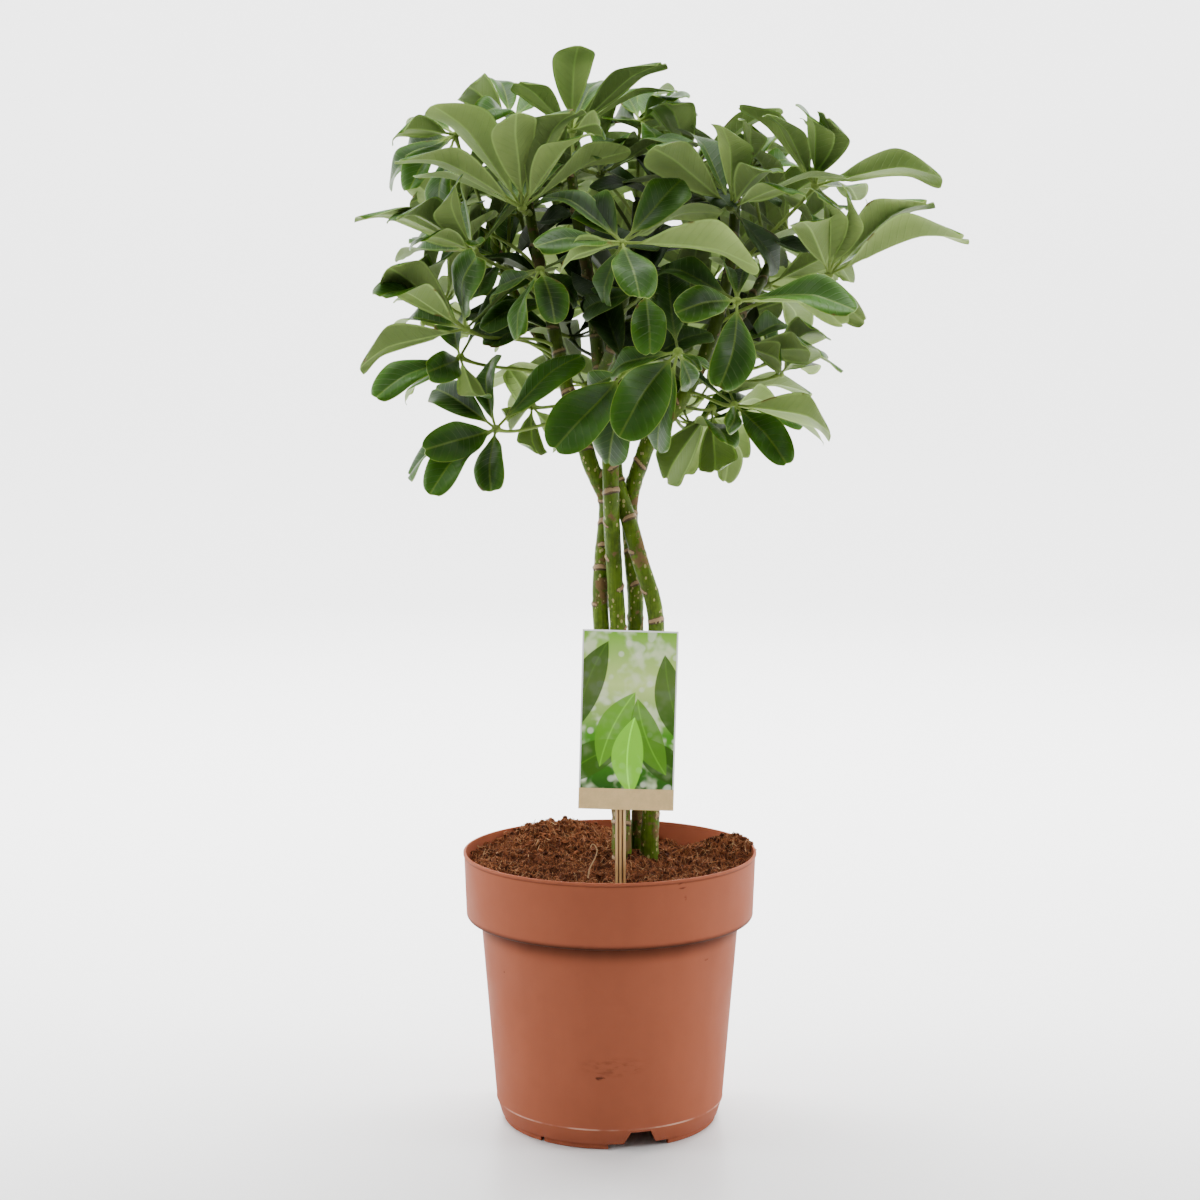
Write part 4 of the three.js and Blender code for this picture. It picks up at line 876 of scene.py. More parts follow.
def limb_at(name, height):
    """The point of a limb at a height, on the straight stretches between its points."""
    points = np.array(LIMBS[name], float)
    k = 0
    while k < len(points) - 2 and points[k + 1, 2] < height:
        k += 1
    part = (height - points[k, 2]) / (points[k + 1, 2] - points[k, 2])
    return points[k] + (points[k + 1] - points[k]) * part


def smooth_line(points):
    """A dense smooth line through points: on each stretch a cubic whose slope at both ends is
    half the way from the point before to the point after."""
    points = np.array(points, float)
    padded = np.vstack([2 * points[0] - points[1], points, 2 * points[-1] - points[-2]])
    before, start, end, after = (padded[k:len(points) - 1 + k, None] for k in range(4))
    t = np.linspace(0, 1, 16, endpoint=False)[None, :, None]
    slope_start, slope_end = (end - before) / 2, (after - start) / 2
    line = ((2 * t ** 3 - 3 * t ** 2 + 1) * start + (t ** 3 - 2 * t ** 2 + t) * slope_start
            + (3 * t ** 2 - 2 * t ** 3) * end + (t ** 3 - t ** 2) * slope_end)
    return np.vstack([line.reshape(-1, 3), points[-1]])


def add_limb(shells, name, sides, chance):
    """A limb as a tube whose radius rises in slanted leaf-scar rings, each a ridge of the form
    exp(-(s / 1.2)^2) with a shallow waist above it."""
    line, along = even_line(smooth_line(LIMBS[name]), 0.85)
    turn = turns(sides)
    ridge, scar, lower = np.zeros((3, len(line), sides))
    place = chance.uniform(4, 14)
    while place < along[-1]:
        facing, slant = chance.uniform(0, 2 * np.pi), chance.uniform(1.0, 3.0)
        height = chance.uniform(0.35, 0.8)
        towards = np.cos(turn - facing)
        wrap = 0.25 + 0.75 * smooth_step(-0.7, 0.5, towards)
        off = along[:, None] - place - slant * towards + chance.uniform(-1.6, 1.6) * towards ** 2
        band = np.exp(-(off / 1.2) ** 2) * wrap
        ridge += height * band - 0.25 * np.exp(-((off - 3.2) / 2.6) ** 2) * wrap
        breadth = chance.uniform(1.0, 2.1) * (0.35 + 0.65 * wrap)
        scar = np.maximum(scar, np.exp(-(off / breadth) ** 2) * smooth_step(0.25, 0.6, wrap))
        lower = np.maximum(lower, np.exp(-((off + breadth * 0.9) / 0.8) ** 2) * wrap)
        place += chance.uniform(12, 27) * (0.6 if line[0, 2] > CROWN_FOOT_Z else 1.0)
    lumps = 0.18 * np.sin(3 * turn + along[:, None] * 0.05 + chance.uniform(0, 6))
    to_end = np.clip((along[-1] - along) / 4.0, 0.02, 1)[:, None]
    radius = (limb_radius(name, line[:, 2:]) + ridge + lumps) * np.sqrt(1 - (1 - to_end) ** 2)
    add_tube(shells, line, radius, sides, scar=scar, lower=lower, age=age_at(line)[:, None],
             height=line[:, 2:] * MM)


def stem_material(settings):
    """Green bark: lengthwise streaks, tan leaf-scar rings, pale lenticels, and brown corky
    patches that thicken towards the soil."""
    material, graph = new_material("green_bark")
    green, tan = np.array(settings.green), np.array(settings.scar)
    height, ring, lower, age = graph.attributes("height", "scar", "lower", "age")
    bark = graph.group(mottle, Colour=green, Patches=green * 1.75, Scale=60.0, Amount=0.7)
    fibres = graph.noise(stretch=(900, 900, 60))
    cork = graph.noise(48.0, detail=5.0, roughness=0.7) + height.span(0.20, 0.30, 0.07, 0.0)
    corky = cork.span(0.56, 0.62)
    broken = graph.noise(330.0, detail=5.0, roughness=0.7) - 0.5
    scar = ring + broken * 1.1
    pore = graph.dots(1.0, 1, 0.42, 0.06, stretch=(360, 360, 230))
    colour = graph.layers(
        bark, (fibres.span(0.4, 0.7, 0.0, 0.5), green * 0.5),
        (corky * 0.85, tan * (0.5, 0.42, 0.36)),
        (scar.span(0.25, 0.38, 0.0, 0.85), tan * 0.3), (scar.span(0.45, 0.62, 0.0, 0.95), tan),
        ((lower + broken).span(0.35, 0.6, 0.0, 0.8), tan * 0.16), (pore * 0.8, (0.36, 0.32, 0.13)),
        # painted shade: the bark darker deep in the crown
        (age * 0.75, green * 0.2))
    graph.surface(colour, corky.span(0.0, 1.0, 0.45, 0.75), shine=0.12, fine=(650.0, 0.00025),
                  height=pore * 0.00012 + (fibres + corky) * 0.00014)
    return material


class PLANT_OT_stems(bpy.types.Operator):
    """Build the four braided stems with their branches"""

    bl_idname = "umbrella_plant.stems"
    bl_label = "Braided stems"

    def execute(self, context):
        settings = context.scene.plant_stems
        material = stem_material(settings)
        for k, name in enumerate(STEMS):
            chance = np.random.default_rng(40 + k)
            shells = Shells()
            add_limb(shells, name, settings.sides, chance)
            for branch in BRANCHES:
                if branch[0] == name:
                    add_limb(shells, branch, settings.sides, chance)
            shells.piece(f"braided_stem_{k + 1}", material, "stem", f"stem_{k + 1}")
        return {"FINISHED"}


# ---------------------------------------------------------------- leaves

class LeafSettings(bpy.types.PropertyGroup):
    """What a user may change on the leaves."""

    upper: FloatVectorProperty(
        name="Upper face", description="Colour of the upper face of a leaflet",
        subtype="COLOR", default=(0.012, 0.039, 0.0035), min=0, max=1)
    under: FloatVectorProperty(
        name="Under face", description="Colour of the under face of a leaflet",
        subtype="COLOR", default=(0.250, 0.365, 0.098), min=0, max=1)
    margin: FloatVectorProperty(
        name="Margin and rib", description="Colour of the margin, the rib and the stalk",
        subtype="COLOR", default=(0.22, 0.31, 0.05), min=0, max=1)
    thickness: FloatProperty(
        name="Blade", description="Thickness of a leaflet's blade",
        default=0.0006, min=0.0002, max=0.002, unit="LENGTH", precision=4)


# One row for each leaf: the limb and the height that it grows from, its hub in the front view
# with its depth, the direction its face looks, and its leaflets in the front view. A leaflet is
# (across, down, length, seen width): the length is negative where its tip lies behind the hub,
# and the width where its under face shows. A row with no leaflets gets a full round by rule.
LEAVES = [
    ("B", 592, (572, 131, -5), (0, 0.1, 1), [(578, 44, 68, -25), (517, 82, 62, -16),
     (515, 89, -62, 6), (664, 62, 80, -14), (604, 80, -62, 14), (602, 127, 55, -18)]),
    ("D", 584, (640, 122, 70), (0.1, 0.2, 1), [(668, 92, -60, 8), (682, 97, 66, -9),
     (612, 95, -60, 14), (680, 130, -65, 12), (605, 125, -62, 13), (655, 155, 66, 14)]),
    ("A", 578, (522, 208, -60), (-0.1, 0.1, 1), [(433, 104, 92, -22), (397, 158, 88, -16),
     (516, 112, 82, -25), (577, 106, 84, -19), (588, 134, 80, -15)]),
    ("A2", 560, (455, 135, 45), (-0.2, 0.1, 1), [(394, 136, 66, -16), (413, 121, -62, 12),
     (388, 185, -70, 14), (401, 163, -66, 12), (409, 190, 70, 14), (440, 222, 68, 14),
     (500, 152, -66, 14)]),
    ("A2", 540, (510, 120, 75), (-0.1, 0.2, 1), [(468, 86, 66, -24), (490, 78, -62, 14),
     (480, 118, 62, 12), (548, 100, -62, 12)]),
    ("A", 532, (474, 251, -35), (-0.35, 0.1, 0.94), [(357, 215, 84, -13), (392, 216, 80, -14),
     (456, 181, 76, -17), (473, 180, -70, 8), (415, 243, 66, -12), (401, 259, -72, 10),
     (479, 243, 34, -7)]),
    ("A", 496, (466, 329, -45), (-0.35, 0, 0.9), [(388, 267, 82, -27), (476, 254, 76, 15),
     (378, 291, 82, -10), (399, 300, -72, 14), (397, 325, -68, 12), (359, 366, 78, -14),
     (487, 335, -54, 14)]),
    ("A", 474, (460, 357, -15), (-0.5, -0.3, 0.8), [(375, 397, 70, 16), (428, 372, 48, 19),
     (406, 399, -64, 11), (481, 398, 58, -16)]),
    ("A", 446, (496, 429, -60), (-0.3, -0.65, 0.7), [(434, 388, -66, 22), (488, 364, -64, 14),
     (424, 450, 66, 22), (430, 494, 72, 19), (491, 491, 58, 17), (406, 475, -66, 9)]),
    ("A", 458, (532, 406, 22), (-0.2, 0.7, 0.6), [(507, 423, 46, -15), (538, 454, 54, -16),
     (512, 368, -50, -15), (545, 372, -48, -13), (562, 442, 54, -16)]),
    ("B2", 530, (622, 243, -112), (0.05, -0.45, 0.9), [(543, 200, -64, 10), (580, 202, -45, 26),
     (640, 296, 58, 25), (536, 250, 66, 12), (560, 265, 58, -12), (679, 178, -66, 25),
     (720, 211, -74, -12), (759, 268, 86, -16), (617, 300, -48, 10)]),
    ("B", 512, (540, 270, -82), (-0.2, -0.5, 0.8), [(555, 323, 58, 20), (517, 338, 60, 6),
     (497, 296, -56, 12), (577, 303, -48, 12)]),
    ("B2", 512, (645, 290, -98), (0.1, -0.6, 0.75), [(650, 355, 58, 20), (600, 332, -56, 14),
     (680, 335, -52, 12)]),
    ("C", 580, (731, 208, -45), (0, 0.1, 1), [(655, 149, 82, -27), (722, 126, 76, -22),
     (682, 129, -78, 14), (775, 170, 68, -17), (802, 193, 70, -10), (765, 270, -62, 13),
     (731, 170, 26, -6), (758, 178, 28, -6)]),
    ("C2", 548, (752, 168, 42), (0.1, 0.1, 1), [(748, 122, 62, -16), (795, 168, -60, 12),
     (772, 140, -58, 12), (712, 150, -62, 12)]),
    ("C", 532, (815, 186, -20), (0.5, 0.1, 0.86), [(762, 130, 74, -8), (783, 119, 76, -12),
     (820, 124, 72, -18), (806, 121, -66, 8), (935, 168, 84, -17)]),
    ("C", 508, (829, 275, -35), (0.55, 0, 0.8), [(815, 188, 76, -13), (845, 187, 76, -13),
     (931, 199, 86, -18), (968, 236, 94, -10), (803, 220, 62, -26), (868, 205, -74, 8)]),
    ("C", 520, (737, 301, -108), (0.2, -0.5, 0.85), [(657, 268, -62, 14), (677, 312, 54, 20),
     (720, 388, 62, 25), (717, 262, -48, 6), (748, 262, -54, 14), (855, 310, 82, 15),
     (846, 322, -78, -12)]),
    ("C", 494, (740, 345, 15), (0.5, -0.1, 0.85), [(788, 325, -58, 14), (810, 350, 66, -20),
     (783, 367, 56, -15)]),
    ("C", 468, (735, 405, -30), (0.5, -0.25, 0.8), [(832, 432, 78, -18), (822, 441, -76, 10),
     (787, 463, 64, 21), (728, 431, 36, 10), (772, 405, -56, -14)]),
    ("C", 456, (712, 408, 30), (0.15, 0.75, 0.6), [(715, 473, 56, -25), (742, 458, -58, -18),
     (727, 482, -62, -14), (664, 482, 68, -25), (684, 474, -62, -18)]),
    ("C", 484, (678, 352, -112), (0, -0.75, 0.65), [(620, 436, 68, 30), (612, 374, -54, 13),
     (690, 390, -42, 12), (657, 452, -68, 20), (700, 370, 26, 4), (716, 376, -32, 4)]),
    ("B", 474, (625, 372, -86), (-0.2, -0.7, 0.65), [(553, 450, 70, 31), (608, 466, -64, 23),
     (575, 395, -50, 14)]),
    ("D", 566, (600, 175, 15), (-0.05, -0.2, 1), []),
    ("D", 548, (672, 205, 10), (0.2, -0.2, 1), []),
    ("A2", 550, (505, 195, 100), (-0.5, 0.5, 0.7), []),
    ("D", 575, (598, 165, 115), (-0.1, 0.5, 0.85), []),
    ("D", 560, (688, 190, 118), (0.25, 0.5, 0.8), []),
    ("C2", 540, (752, 232, 112), (0.5, 0.5, 0.7), []),
    ("C2", 526, (768, 285, 88), (0.6, 0.5, 0.6), []),
    ("D2", 545, (560, 235, 135), (-0.4, 0.75, 0.6), []),
    ("D2", 536, (640, 225, 155), (0.1, 0.8, 0.6), []),
    ("C2", 512, (712, 280, 140), (0.4, 0.8, 0.5), []),
    ("D2", 520, (606, 305, 142), (-0.1, 0.9, 0.45), []),
    ("D2", 502, (678, 350, 124), (0.2, 0.9, 0.4), []),
    ("D", 488, (640, 395, 98), (0, 0.9, 0.45), []),
]

# Smaller leaves deep in the crown that close it, all by rule. The leaves above stay as they are.
INNER = [
    ("A", 508, (508, 262, 40), (-0.4, -0.1, 0.9), []),
    ("A", 522, (476, 258, 62), (-0.5, 0.2, 0.8), []),
    ("A", 484, (444, 304, 45), (-0.6, 0.3, 0.7), []),
    ("A", 500, (520, 215, 55), (-0.2, 0.1, 1), []),
    ("B", 486, (572, 338, 20), (0, -0.3, 0.9), []),
    ("B", 505, (585, 300, 0), (0, -0.4, 0.9), []),
    ("D", 525, (632, 258, 60), (0, -0.1, 1), []),
    ("D", 500, (640, 320, 70), (0.1, 0.3, 0.9), []),
    ("C", 478, (768, 362, 62), (0.5, 0.1, 0.8), []),
    ("C", 452, (700, 398, 70), (0.2, 0.3, 0.8), []),
    ("C", 500, (730, 255, 30), (0.2, -0.1, 1), []),
    ("D", 470, (585, 385, 75), (-0.2, 0.4, 0.8), []),
    ("D", 575, (692, 166, 72), (0.1, 0.1, 1), []),
    ("C", 470, (780, 374, 40), (0.5, 0, 0.85), []),
    ("A", 490, (424, 322, 30), (-0.7, 0.1, 0.6), []),
    ("C", 455, (690, 424, 40), (0.1, -0.2, 0.8), []),
    ("B", 562, (560, 185, 62), (0, 0, 1), []),
    ("A", 540, (455, 205, 64), (-0.4, 0.2, 0.9), []),
    ("C", 540, (790, 235, 62), (0.5, 0.2, 0.8), []),
]

ARCH = 0.07  # rise of a leaflet's widest part over its ends, of its length
WIDEST = 0.68  # share of a leaflet's length where it is widest and highest
FOLD = 0.3  # rise of a half blade towards its edge, of its width
SEEN_TO_TRUE = 1.03  # a leaflet's width over its seen width, face on
SHANK = 0.14  # bare stretch of a leaflet at its root, of its length
SLIMMEST = 0.34  # width of the slimmest leaflet, of its length
ROUND_OF_LEAFLETS = 6
CROWN_CENTRE = np.array([22, 20, 545])
CROWN_HALF = np.array([172, 205, 128])
WIDEST_GAP = math.radians(95)
LEAFLET_STEP = math.radians(56)
CHANCE_FACTOR = 1664525
CHANCE_STEP = 1013904223
CHANCE_RANGE = 2 ** 32
CHANCE_START = 20261


def chances():
    """Numbers from 0 to 1, the same row of them in every run."""
    state = CHANCE_START
    while True:
        state = (state * CHANCE_FACTOR + CHANCE_STEP) % CHANCE_RANGE
        yield state / CHANCE_RANGE


def outline(share):
    """Half the width of an egg-shaped leaflet, of its greatest: with q the share past the bare
    shank, q^0.9 (1 - q)^0.45, which is a wedge with a round end, widest at two thirds."""
    q = np.clip((share - SHANK) / (1 - SHANK), 0, 1)
    return q ** 0.9 * (1 - q) ** 0.45 / 0.4235


def rib_rise(length, share):
    """How high the rib rises over the line from root to tip: ARCH L (1 - away^1.4)."""
    away = np.where(share < WIDEST, (WIDEST - share) / WIDEST, (share - WIDEST) / (1 - WIDEST))
    return ARCH * length * (1 - np.abs(away) ** 1.4)


def across_axis(axis):
    """Two directions square to a leaf's axis, for turning round it."""
    first = unit(np.cross(axis, [0.31, 0.95, 0.05]))
    return first, np.cross(axis, first)


def leaflet_along(leaf, turn, lift, length, width):
    """A leaflet by its turn about the leaf's axis and its lift towards it."""
    first, second = across_axis(leaf["axis"])
    flat = first * math.cos(turn) + second * math.sin(turn)
    way = unit(flat * math.sqrt(1 - lift * lift) + leaf["axis"] * lift)
    return {"way": way, "length": length, "width": width, "lean": leaf["axis"]}


def leaflet_seen(leaf, row):
    """A leaflet of the front view, rolled about its rib so far that its true width is seen as
    the width given, from the side given, and to the side that faces the leaf's axis more."""
    across, down, reach, seen_width = row
    chord = reach_to(leaf["hub"], across, down, reach) - leaf["hub"]
    length = np.linalg.norm(chord)
    way = chord / length
    width = max(abs(seen_width) * SEEN_TO_TRUE, SLIMMEST * length)
    to_eye = unit(EYE - leaf["hub"])
    facing = unit(to_eye - way * (to_eye @ way))
    share = seen_width / width
    turned = np.cross(way, facing) * math.sqrt(1 - share * share)
    ahead = facing * share
    lean = ahead + turned if turned @ leaf["axis"] > 0 else ahead - turned
    return {"way": way, "length": length, "width": width, "lean": lean}


def inside_crown(leaf, leaflet):
    """Whether a leaflet made by rule stays inside the round crown that the front view shows."""
    tip = leaf["hub"] + leaflet["way"] * leaflet["length"] - CROWN_CENTRE
    return ((tip / CROWN_HALF) ** 2).sum() < 1


def fill_round(leaf, leaflets, chance):
    """Fills each wide gap in a leaf's round of leaflets, on the side away from the front."""
    first, second = across_axis(leaf["axis"])
    turns = sorted(math.atan2(kid["way"] @ second, kid["way"] @ first) for kid in leaflets)
    count = len(turns)
    lift = sum(kid["way"] @ leaf["axis"] for kid in leaflets) / count
    lift = min(max(lift, -0.1), 0.4)
    for k in range(count):
        following = turns[k + 1] if k + 1 < count else turns[0] + 2 * math.pi
        gap = following - turns[k]
        if gap < WIDEST_GAP:
            continue
        missing = math.floor(gap / LEAFLET_STEP + 0.5) - 1
        for m in range(1, missing + 1):
            turn = turns[k] + gap * m / (missing + 1)
            length = 66 + 10 * next(chance)
            more = leaflet_along(leaf, turn, lift, length, 22 + 5 * next(chance))
            if more["way"][1] > 0 and inside_crown(leaf, more):
                leaflets.append(more)


def grow_leaves():
    """Every leaf with its hub, axis, stalk and leaflets, before anything is bent clear."""
    chance = chances()
    leaves = []
    for limb, height, hub, axis, seen in LEAVES + INNER:
        leaf = {"limb": limb, "hub": seen_at(*hub), "axis": unit(np.array(axis, float))}
        leaf["foot"] = limb_at(limb, height)
        leaflets = [leaflet_seen(leaf, row) for row in seen]
        if seen:
            fill_round(leaf, leaflets, chance)
        else:
            start = 2 * math.pi * next(chance)
            for k in range(ROUND_OF_LEAFLETS):
                turn = start + 2 * math.pi * (k + 0.3 * next(chance)) / ROUND_OF_LEAFLETS
                lift = 0.05 + 0.3 * next(chance)
                length = 66 + 14 * next(chance)
                more = leaflet_along(leaf, turn, lift, length, 23 + 6 * next(chance))
                if inside_crown(leaf, more):
                    leaflets.append(more)
        chord = leaf["hub"] - leaf["foot"]
        leave = unit(unit(chord) + [0, 0, 0.5])
        arrive = unit(unit(chord) * 0.9 + leaf["axis"] * 0.5)
        third = np.linalg.norm(chord) * 0.33
        leaf["bends"] = np.array([leaf["foot"] + leave * third, leaf["hub"] - arrive * third])
        leaf["leaflets"] = leaflets
        leaves.append(leaf)
    return leaves


def stalk_points(leaf, t):
    """Points of a stalk, a cubic curve from its foot to its hub, bent by two points."""
    t = np.asarray(t)[:, None]
    s = 1 - t
    ends = leaf["foot"] * s ** 3 + leaf["hub"] * t ** 3
    return ends + leaf["bends"][0] * 3 * s * s * t + leaf["bends"][1] * 3 * s * t * t


# ---------------------------------------------------------------- bending clear

STALK_SAMPLES = 9
STALK_CLEAR = 3.6  # between the centre lines of two stalks
STALK_ROUNDS = 30
ROOTED_SAMPLES = 3  # of a stalk's samples, too near its own limb to be bent off it
FROM_STALK = 0.4  # share of a clash that one round mends
FROM_LIMB = 0.5
LIMB_STEP = 7
BLADE_SAMPLES = np.array([(share, across) for share in (0.35, 0.55, 0.75, 0.95)
                          for across in (-0.8, 0.0, 0.8)])
KIN_SAMPLES = 6  # the outer ones, which leaflets of one leaf are tested by
BLADE_CLEAR = 2.2  # between the middles of two blades
STALK_PLACES = 12  # of a stalk that blades are kept clear of
STALK_SPARE = 0.6  # added to BLADE_CLEAR for a stalk
LIMB_SPARE = 1.2  # added to a limb's radius
LIMB_GROUP = 3  # steps of a limb that are tested together
BLADE_ROUNDS = 60
EDGE_CLEAR = 1.2
NEAR_BLADE = 14  # further off its face than this, a point doesn't trouble a blade
PAIR_REACH = 88  # between the middle of a blade and of what could cross it
LARGEST_TURN = 0.06
SIDEWAYS = 0.6  # share of a turn that is kept across and up the front view
FROM_BLADE = 0.4  # share of a clash that one round mends, for each of two blades
FROM_FIXED = 0.6  # the same for a stalk or a limb, which stays
PAST_TIP = 1.03  # share of a leaflet's length past which nothing meets it
NEAR_TIP = 0.97  # share from which its outline counts as no narrower


def limb_samples():
    """Points down the middle of every limb in the crown: names, points and radii."""
    samples = []
    for name, line in LIMBS.items():
        top, foot = line[-1][2], max(line[0][2], LOWEST_STALK_Z)
        steps = math.ceil((top - foot) / LIMB_STEP)
        for k in range(steps + 1):
            z = foot + (top - foot) * k / steps
            samples.append((name, limb_at(name, z), float(limb_radius(name, z))))
    names, points, radii = zip(*samples)
    return names, np.array(points), np.array(radii)


def pushes(at, others, clear, share, wanted):
    """The sum of what moves each point of `at` away from `others` that are too close."""
    apart = at[:, None] - others[None]
    far = np.linalg.norm(apart, axis=-1)
    strength = np.where((far < clear) & wanted, share * (clear - far) / (far + 0.01), 0)
    return (apart * strength[..., None]).sum(1)


def bend_stalks_apart(leaves, limbs, held=0):
    """Moves the middles of stalks that come too close to another stalk or to a limb, but for the
    first `held` leaves."""
    names, limb_points, radii = limbs
    owner, sample = np.divmod(np.arange(len(leaves) * STALK_SAMPLES), STALK_SAMPLES)
    own_limb = np.array([[name[0] == leaf["limb"][0] for name in names] for leaf in leaves])
    free = ~(own_limb[owner] & (sample < ROOTED_SAMPLES)[:, None])
    places = np.arange(1, STALK_SAMPLES + 1) / (STALK_SAMPLES + 1)
    clear = (radii + STALK_CLEAR - STALK_RADIUS)[None]
    for _ in range(STALK_ROUNDS):
        points = np.concatenate([stalk_points(leaf, places) for leaf in leaves])
        moves = pushes(points, points, STALK_CLEAR, FROM_STALK, owner[:, None] != owner)
        moves += pushes(points, limb_points, clear, FROM_LIMB, free)
        moves = moves.reshape(len(leaves), STALK_SAMPLES, 3).sum(1)
        for leaf, move in list(zip(leaves, moves))[held:]:
            leaf["bends"] = leaf["bends"] + move


def clash(blade, rows, clear):
    """What rows of points do to blades: how far and which way each row would have to move to lie
    all on one side of its blade or all past its edge, whichever is less. Missing points are NaN.
    Gives the push, the share along the blade, and the index of the point that is worst."""
    hub, way, side, face, length, width = (blade[key][:, None] for key in (
        "hub", "way", "side", "face", "length", "width"))
    off = rows - hub
    share = (off * way).sum(-1) / length
    across = (off * side).sum(-1)
    half = outline(np.minimum(share, NEAR_TIP)) * width / 2 + EDGE_CLEAR
    height = (off * face).sum(-1) - (rib_rise(length, share) + FOLD * np.abs(across))
    inside = (share >= SHANK) & (share <= PAST_TIP) & (np.abs(across) <= half)
    inside &= np.abs(height) <= NEAR_BLADE
    above, right = (np.where(np.where(inside, to, 0).sum(1) >= 0, 1.0, -1.0)[:, None]
                    for to in (height, across))
    lift = np.where(inside, clear[:, None] - above * height, -np.inf)
    slide = np.where(inside, half - right * across, -np.inf)
    most_lift, most_slide = lift.max(1, keepdims=True), slide.max(1, keepdims=True)
    hit = inside.any(1) & (most_lift > 0)[:, 0]
    sideways = most_slide < most_lift
    index = np.where(sideways[:, 0], slide.argmax(1), lift.argmax(1))
    pushed = np.where(sideways, blade["side"] * (right * most_slide),
                      blade["face"] * (above * most_lift))
    return pushed[hit], np.take_along_axis(share, index[:, None], 1)[hit, 0], index[hit], hit


def fixed_rows(leaves, limbs):
    """Rows of points that blades are kept clear of, down each stalk and each stretch of a limb:
    points with NaN for what is missing, middles, clearances and the leaf of each, or -1."""
    names, limb_points, radii = limbs
    places = np.arange(1, STALK_PLACES + 1) / (STALK_PLACES + 1)
    rows = []
    for k, leaf in enumerate(leaves):
        row = stalk_points(leaf, places)
        rows.append((row, row[STALK_PLACES // 2], BLADE_CLEAR + STALK_SPARE, k))
    for k in range(0, len(names) - LIMB_GROUP, LIMB_GROUP):
        group = [j for j in range(k, k + LIMB_GROUP + 1) if names[j] == names[k]]
        row = np.full((STALK_PLACES, 3), np.nan)
        row[:len(group)] = limb_points[group]
        rows.append((row, limb_points[group[len(group) // 2]], radii[k] + LIMB_SPARE, -1))
    return [np.array(column) for column in zip(*rows)]


def near_pairs(middles, places, wanted):
    """Every blade j and thing i in `places` near enough to be tested, in the order of j."""
    far = ((places[None] - middles[:, None]) ** 2).sum(-1)
    return np.nonzero((far < PAIR_REACH ** 2) & wanted)


def turn_leaflets_apart(leaves, limbs, held=0):
    """Turns leaflets about their hubs, a little in each round, until no blade runs through
    another blade, a stalk or a limb. Those of the first `held` leaves stay as they are."""
    kids = [(k, kid) for k, leaf in enumerate(leaves) for kid in leaf["leaflets"]]
    owner = np.array([k for k, _ in kids])
    blade = {key: np.array([kid[key] for _, kid in kids])
             for key in ("way", "length", "width", "lean")}
    blade["hub"] = np.array([leaves[k]["hub"] for k in owner])
    length = blade["length"]
    share, across = BLADE_SAMPLES.T
    wide = across * outline(share) * blade["width"][:, None] / 2
    rise = rib_rise(length[:, None], share) + FOLD * np.abs(wide)

    def set_frames():
        """The face of each leaflet, its lean squared to its way, and its side."""
        way, lean = blade["way"], blade["lean"]
        blade["face"] = unit(lean - way * (lean * way).sum(-1, keepdims=True))
        blade["side"] = np.cross(blade["face"], way)

    def clashes(j, rows, clear):
        return clash({key: value[j] for key, value in blade.items()}, rows, clear)

    set_frames()
    middles = (blade["hub"] + blade["way"] * length[:, None] * 0.6
               + blade["face"] * rib_rise(length, np.array(0.6))[:, None])
    rows, row_middles, row_clear, row_owner = fixed_rows(leaves, limbs)
    same = owner[:, None] == owner
    others = near_pairs(middles, middles, ~same)
    kin = near_pairs(middles, middles, same & ~np.eye(len(kids), dtype=bool))
    fixed, by = near_pairs(middles, row_middles, owner[:, None] != row_owner)
    for _ in range(BLADE_ROUNDS):
        hub, way, side, face = (blade[key][:, None] for key in ("hub", "way", "side", "face"))
        points = (hub + way * (length[:, None] * share)[..., None]
                  + side * wide[..., None] + face * rise[..., None])
        moved = np.zeros_like(blade["way"])
        for (j, i), first in ((others, 0), (kin, KIN_SAMPLES)):
            pushed, at, index, hit = clashes(j, points[i, first:], np.full(len(j), BLADE_CLEAR))
            own = length[i[hit]] * share[index + first]
            np.add.at(moved, i[hit], pushed * (FROM_BLADE / own)[:, None])
            np.add.at(moved, j[hit], -pushed * (FROM_BLADE / (length[j[hit]] * at))[:, None])
        pushed, at, _, hit = clashes(fixed, rows[by], row_clear[by])
        np.add.at(moved, fixed[hit], -pushed * (FROM_FIXED / (length[fixed[hit]] * at))[:, None])
        moved[owner < held] = 0
        moved *= [SIDEWAYS, 1, SIDEWAYS]
        size = np.linalg.norm(moved, axis=1, keepdims=True)
        moved *= np.where(size > LARGEST_TURN, LARGEST_TURN / np.maximum(size, 1e-12), 1)
        blade["way"] = unit(blade["way"] + moved)
        set_frames()
    for k, (_, kid) in enumerate(kids):
        kid.update({key: blade[key][k] for key in ("way", "face", "side")})


# ---------------------------------------------------------------- leaf surfaces

ROOT_START = 2.2  # of a leaflet's root from the middle of the hub
SHANK_HALF = 0.85  # half the thickness of the bare shank
TIP_CUT = 0.985  # share of the outline at which the round end is closed
EDGE_STATIONS = np.array([0, 0.06, 0.15, 0.3, 0.46, 0.62, 0.77, 0.89, 0.96, 1.0])
ACROSS = np.concatenate([-EDGE_STATIONS[:0:-1], EDGE_STATIONS])
BLADE_STATIONS = 22
SHANK_STATIONS = 4
FOLD_ROUND = 1.6  # radius of a leaflet's fold along its rib
HUB_RADIUS, HUB_HALF = 3.1, 2.3


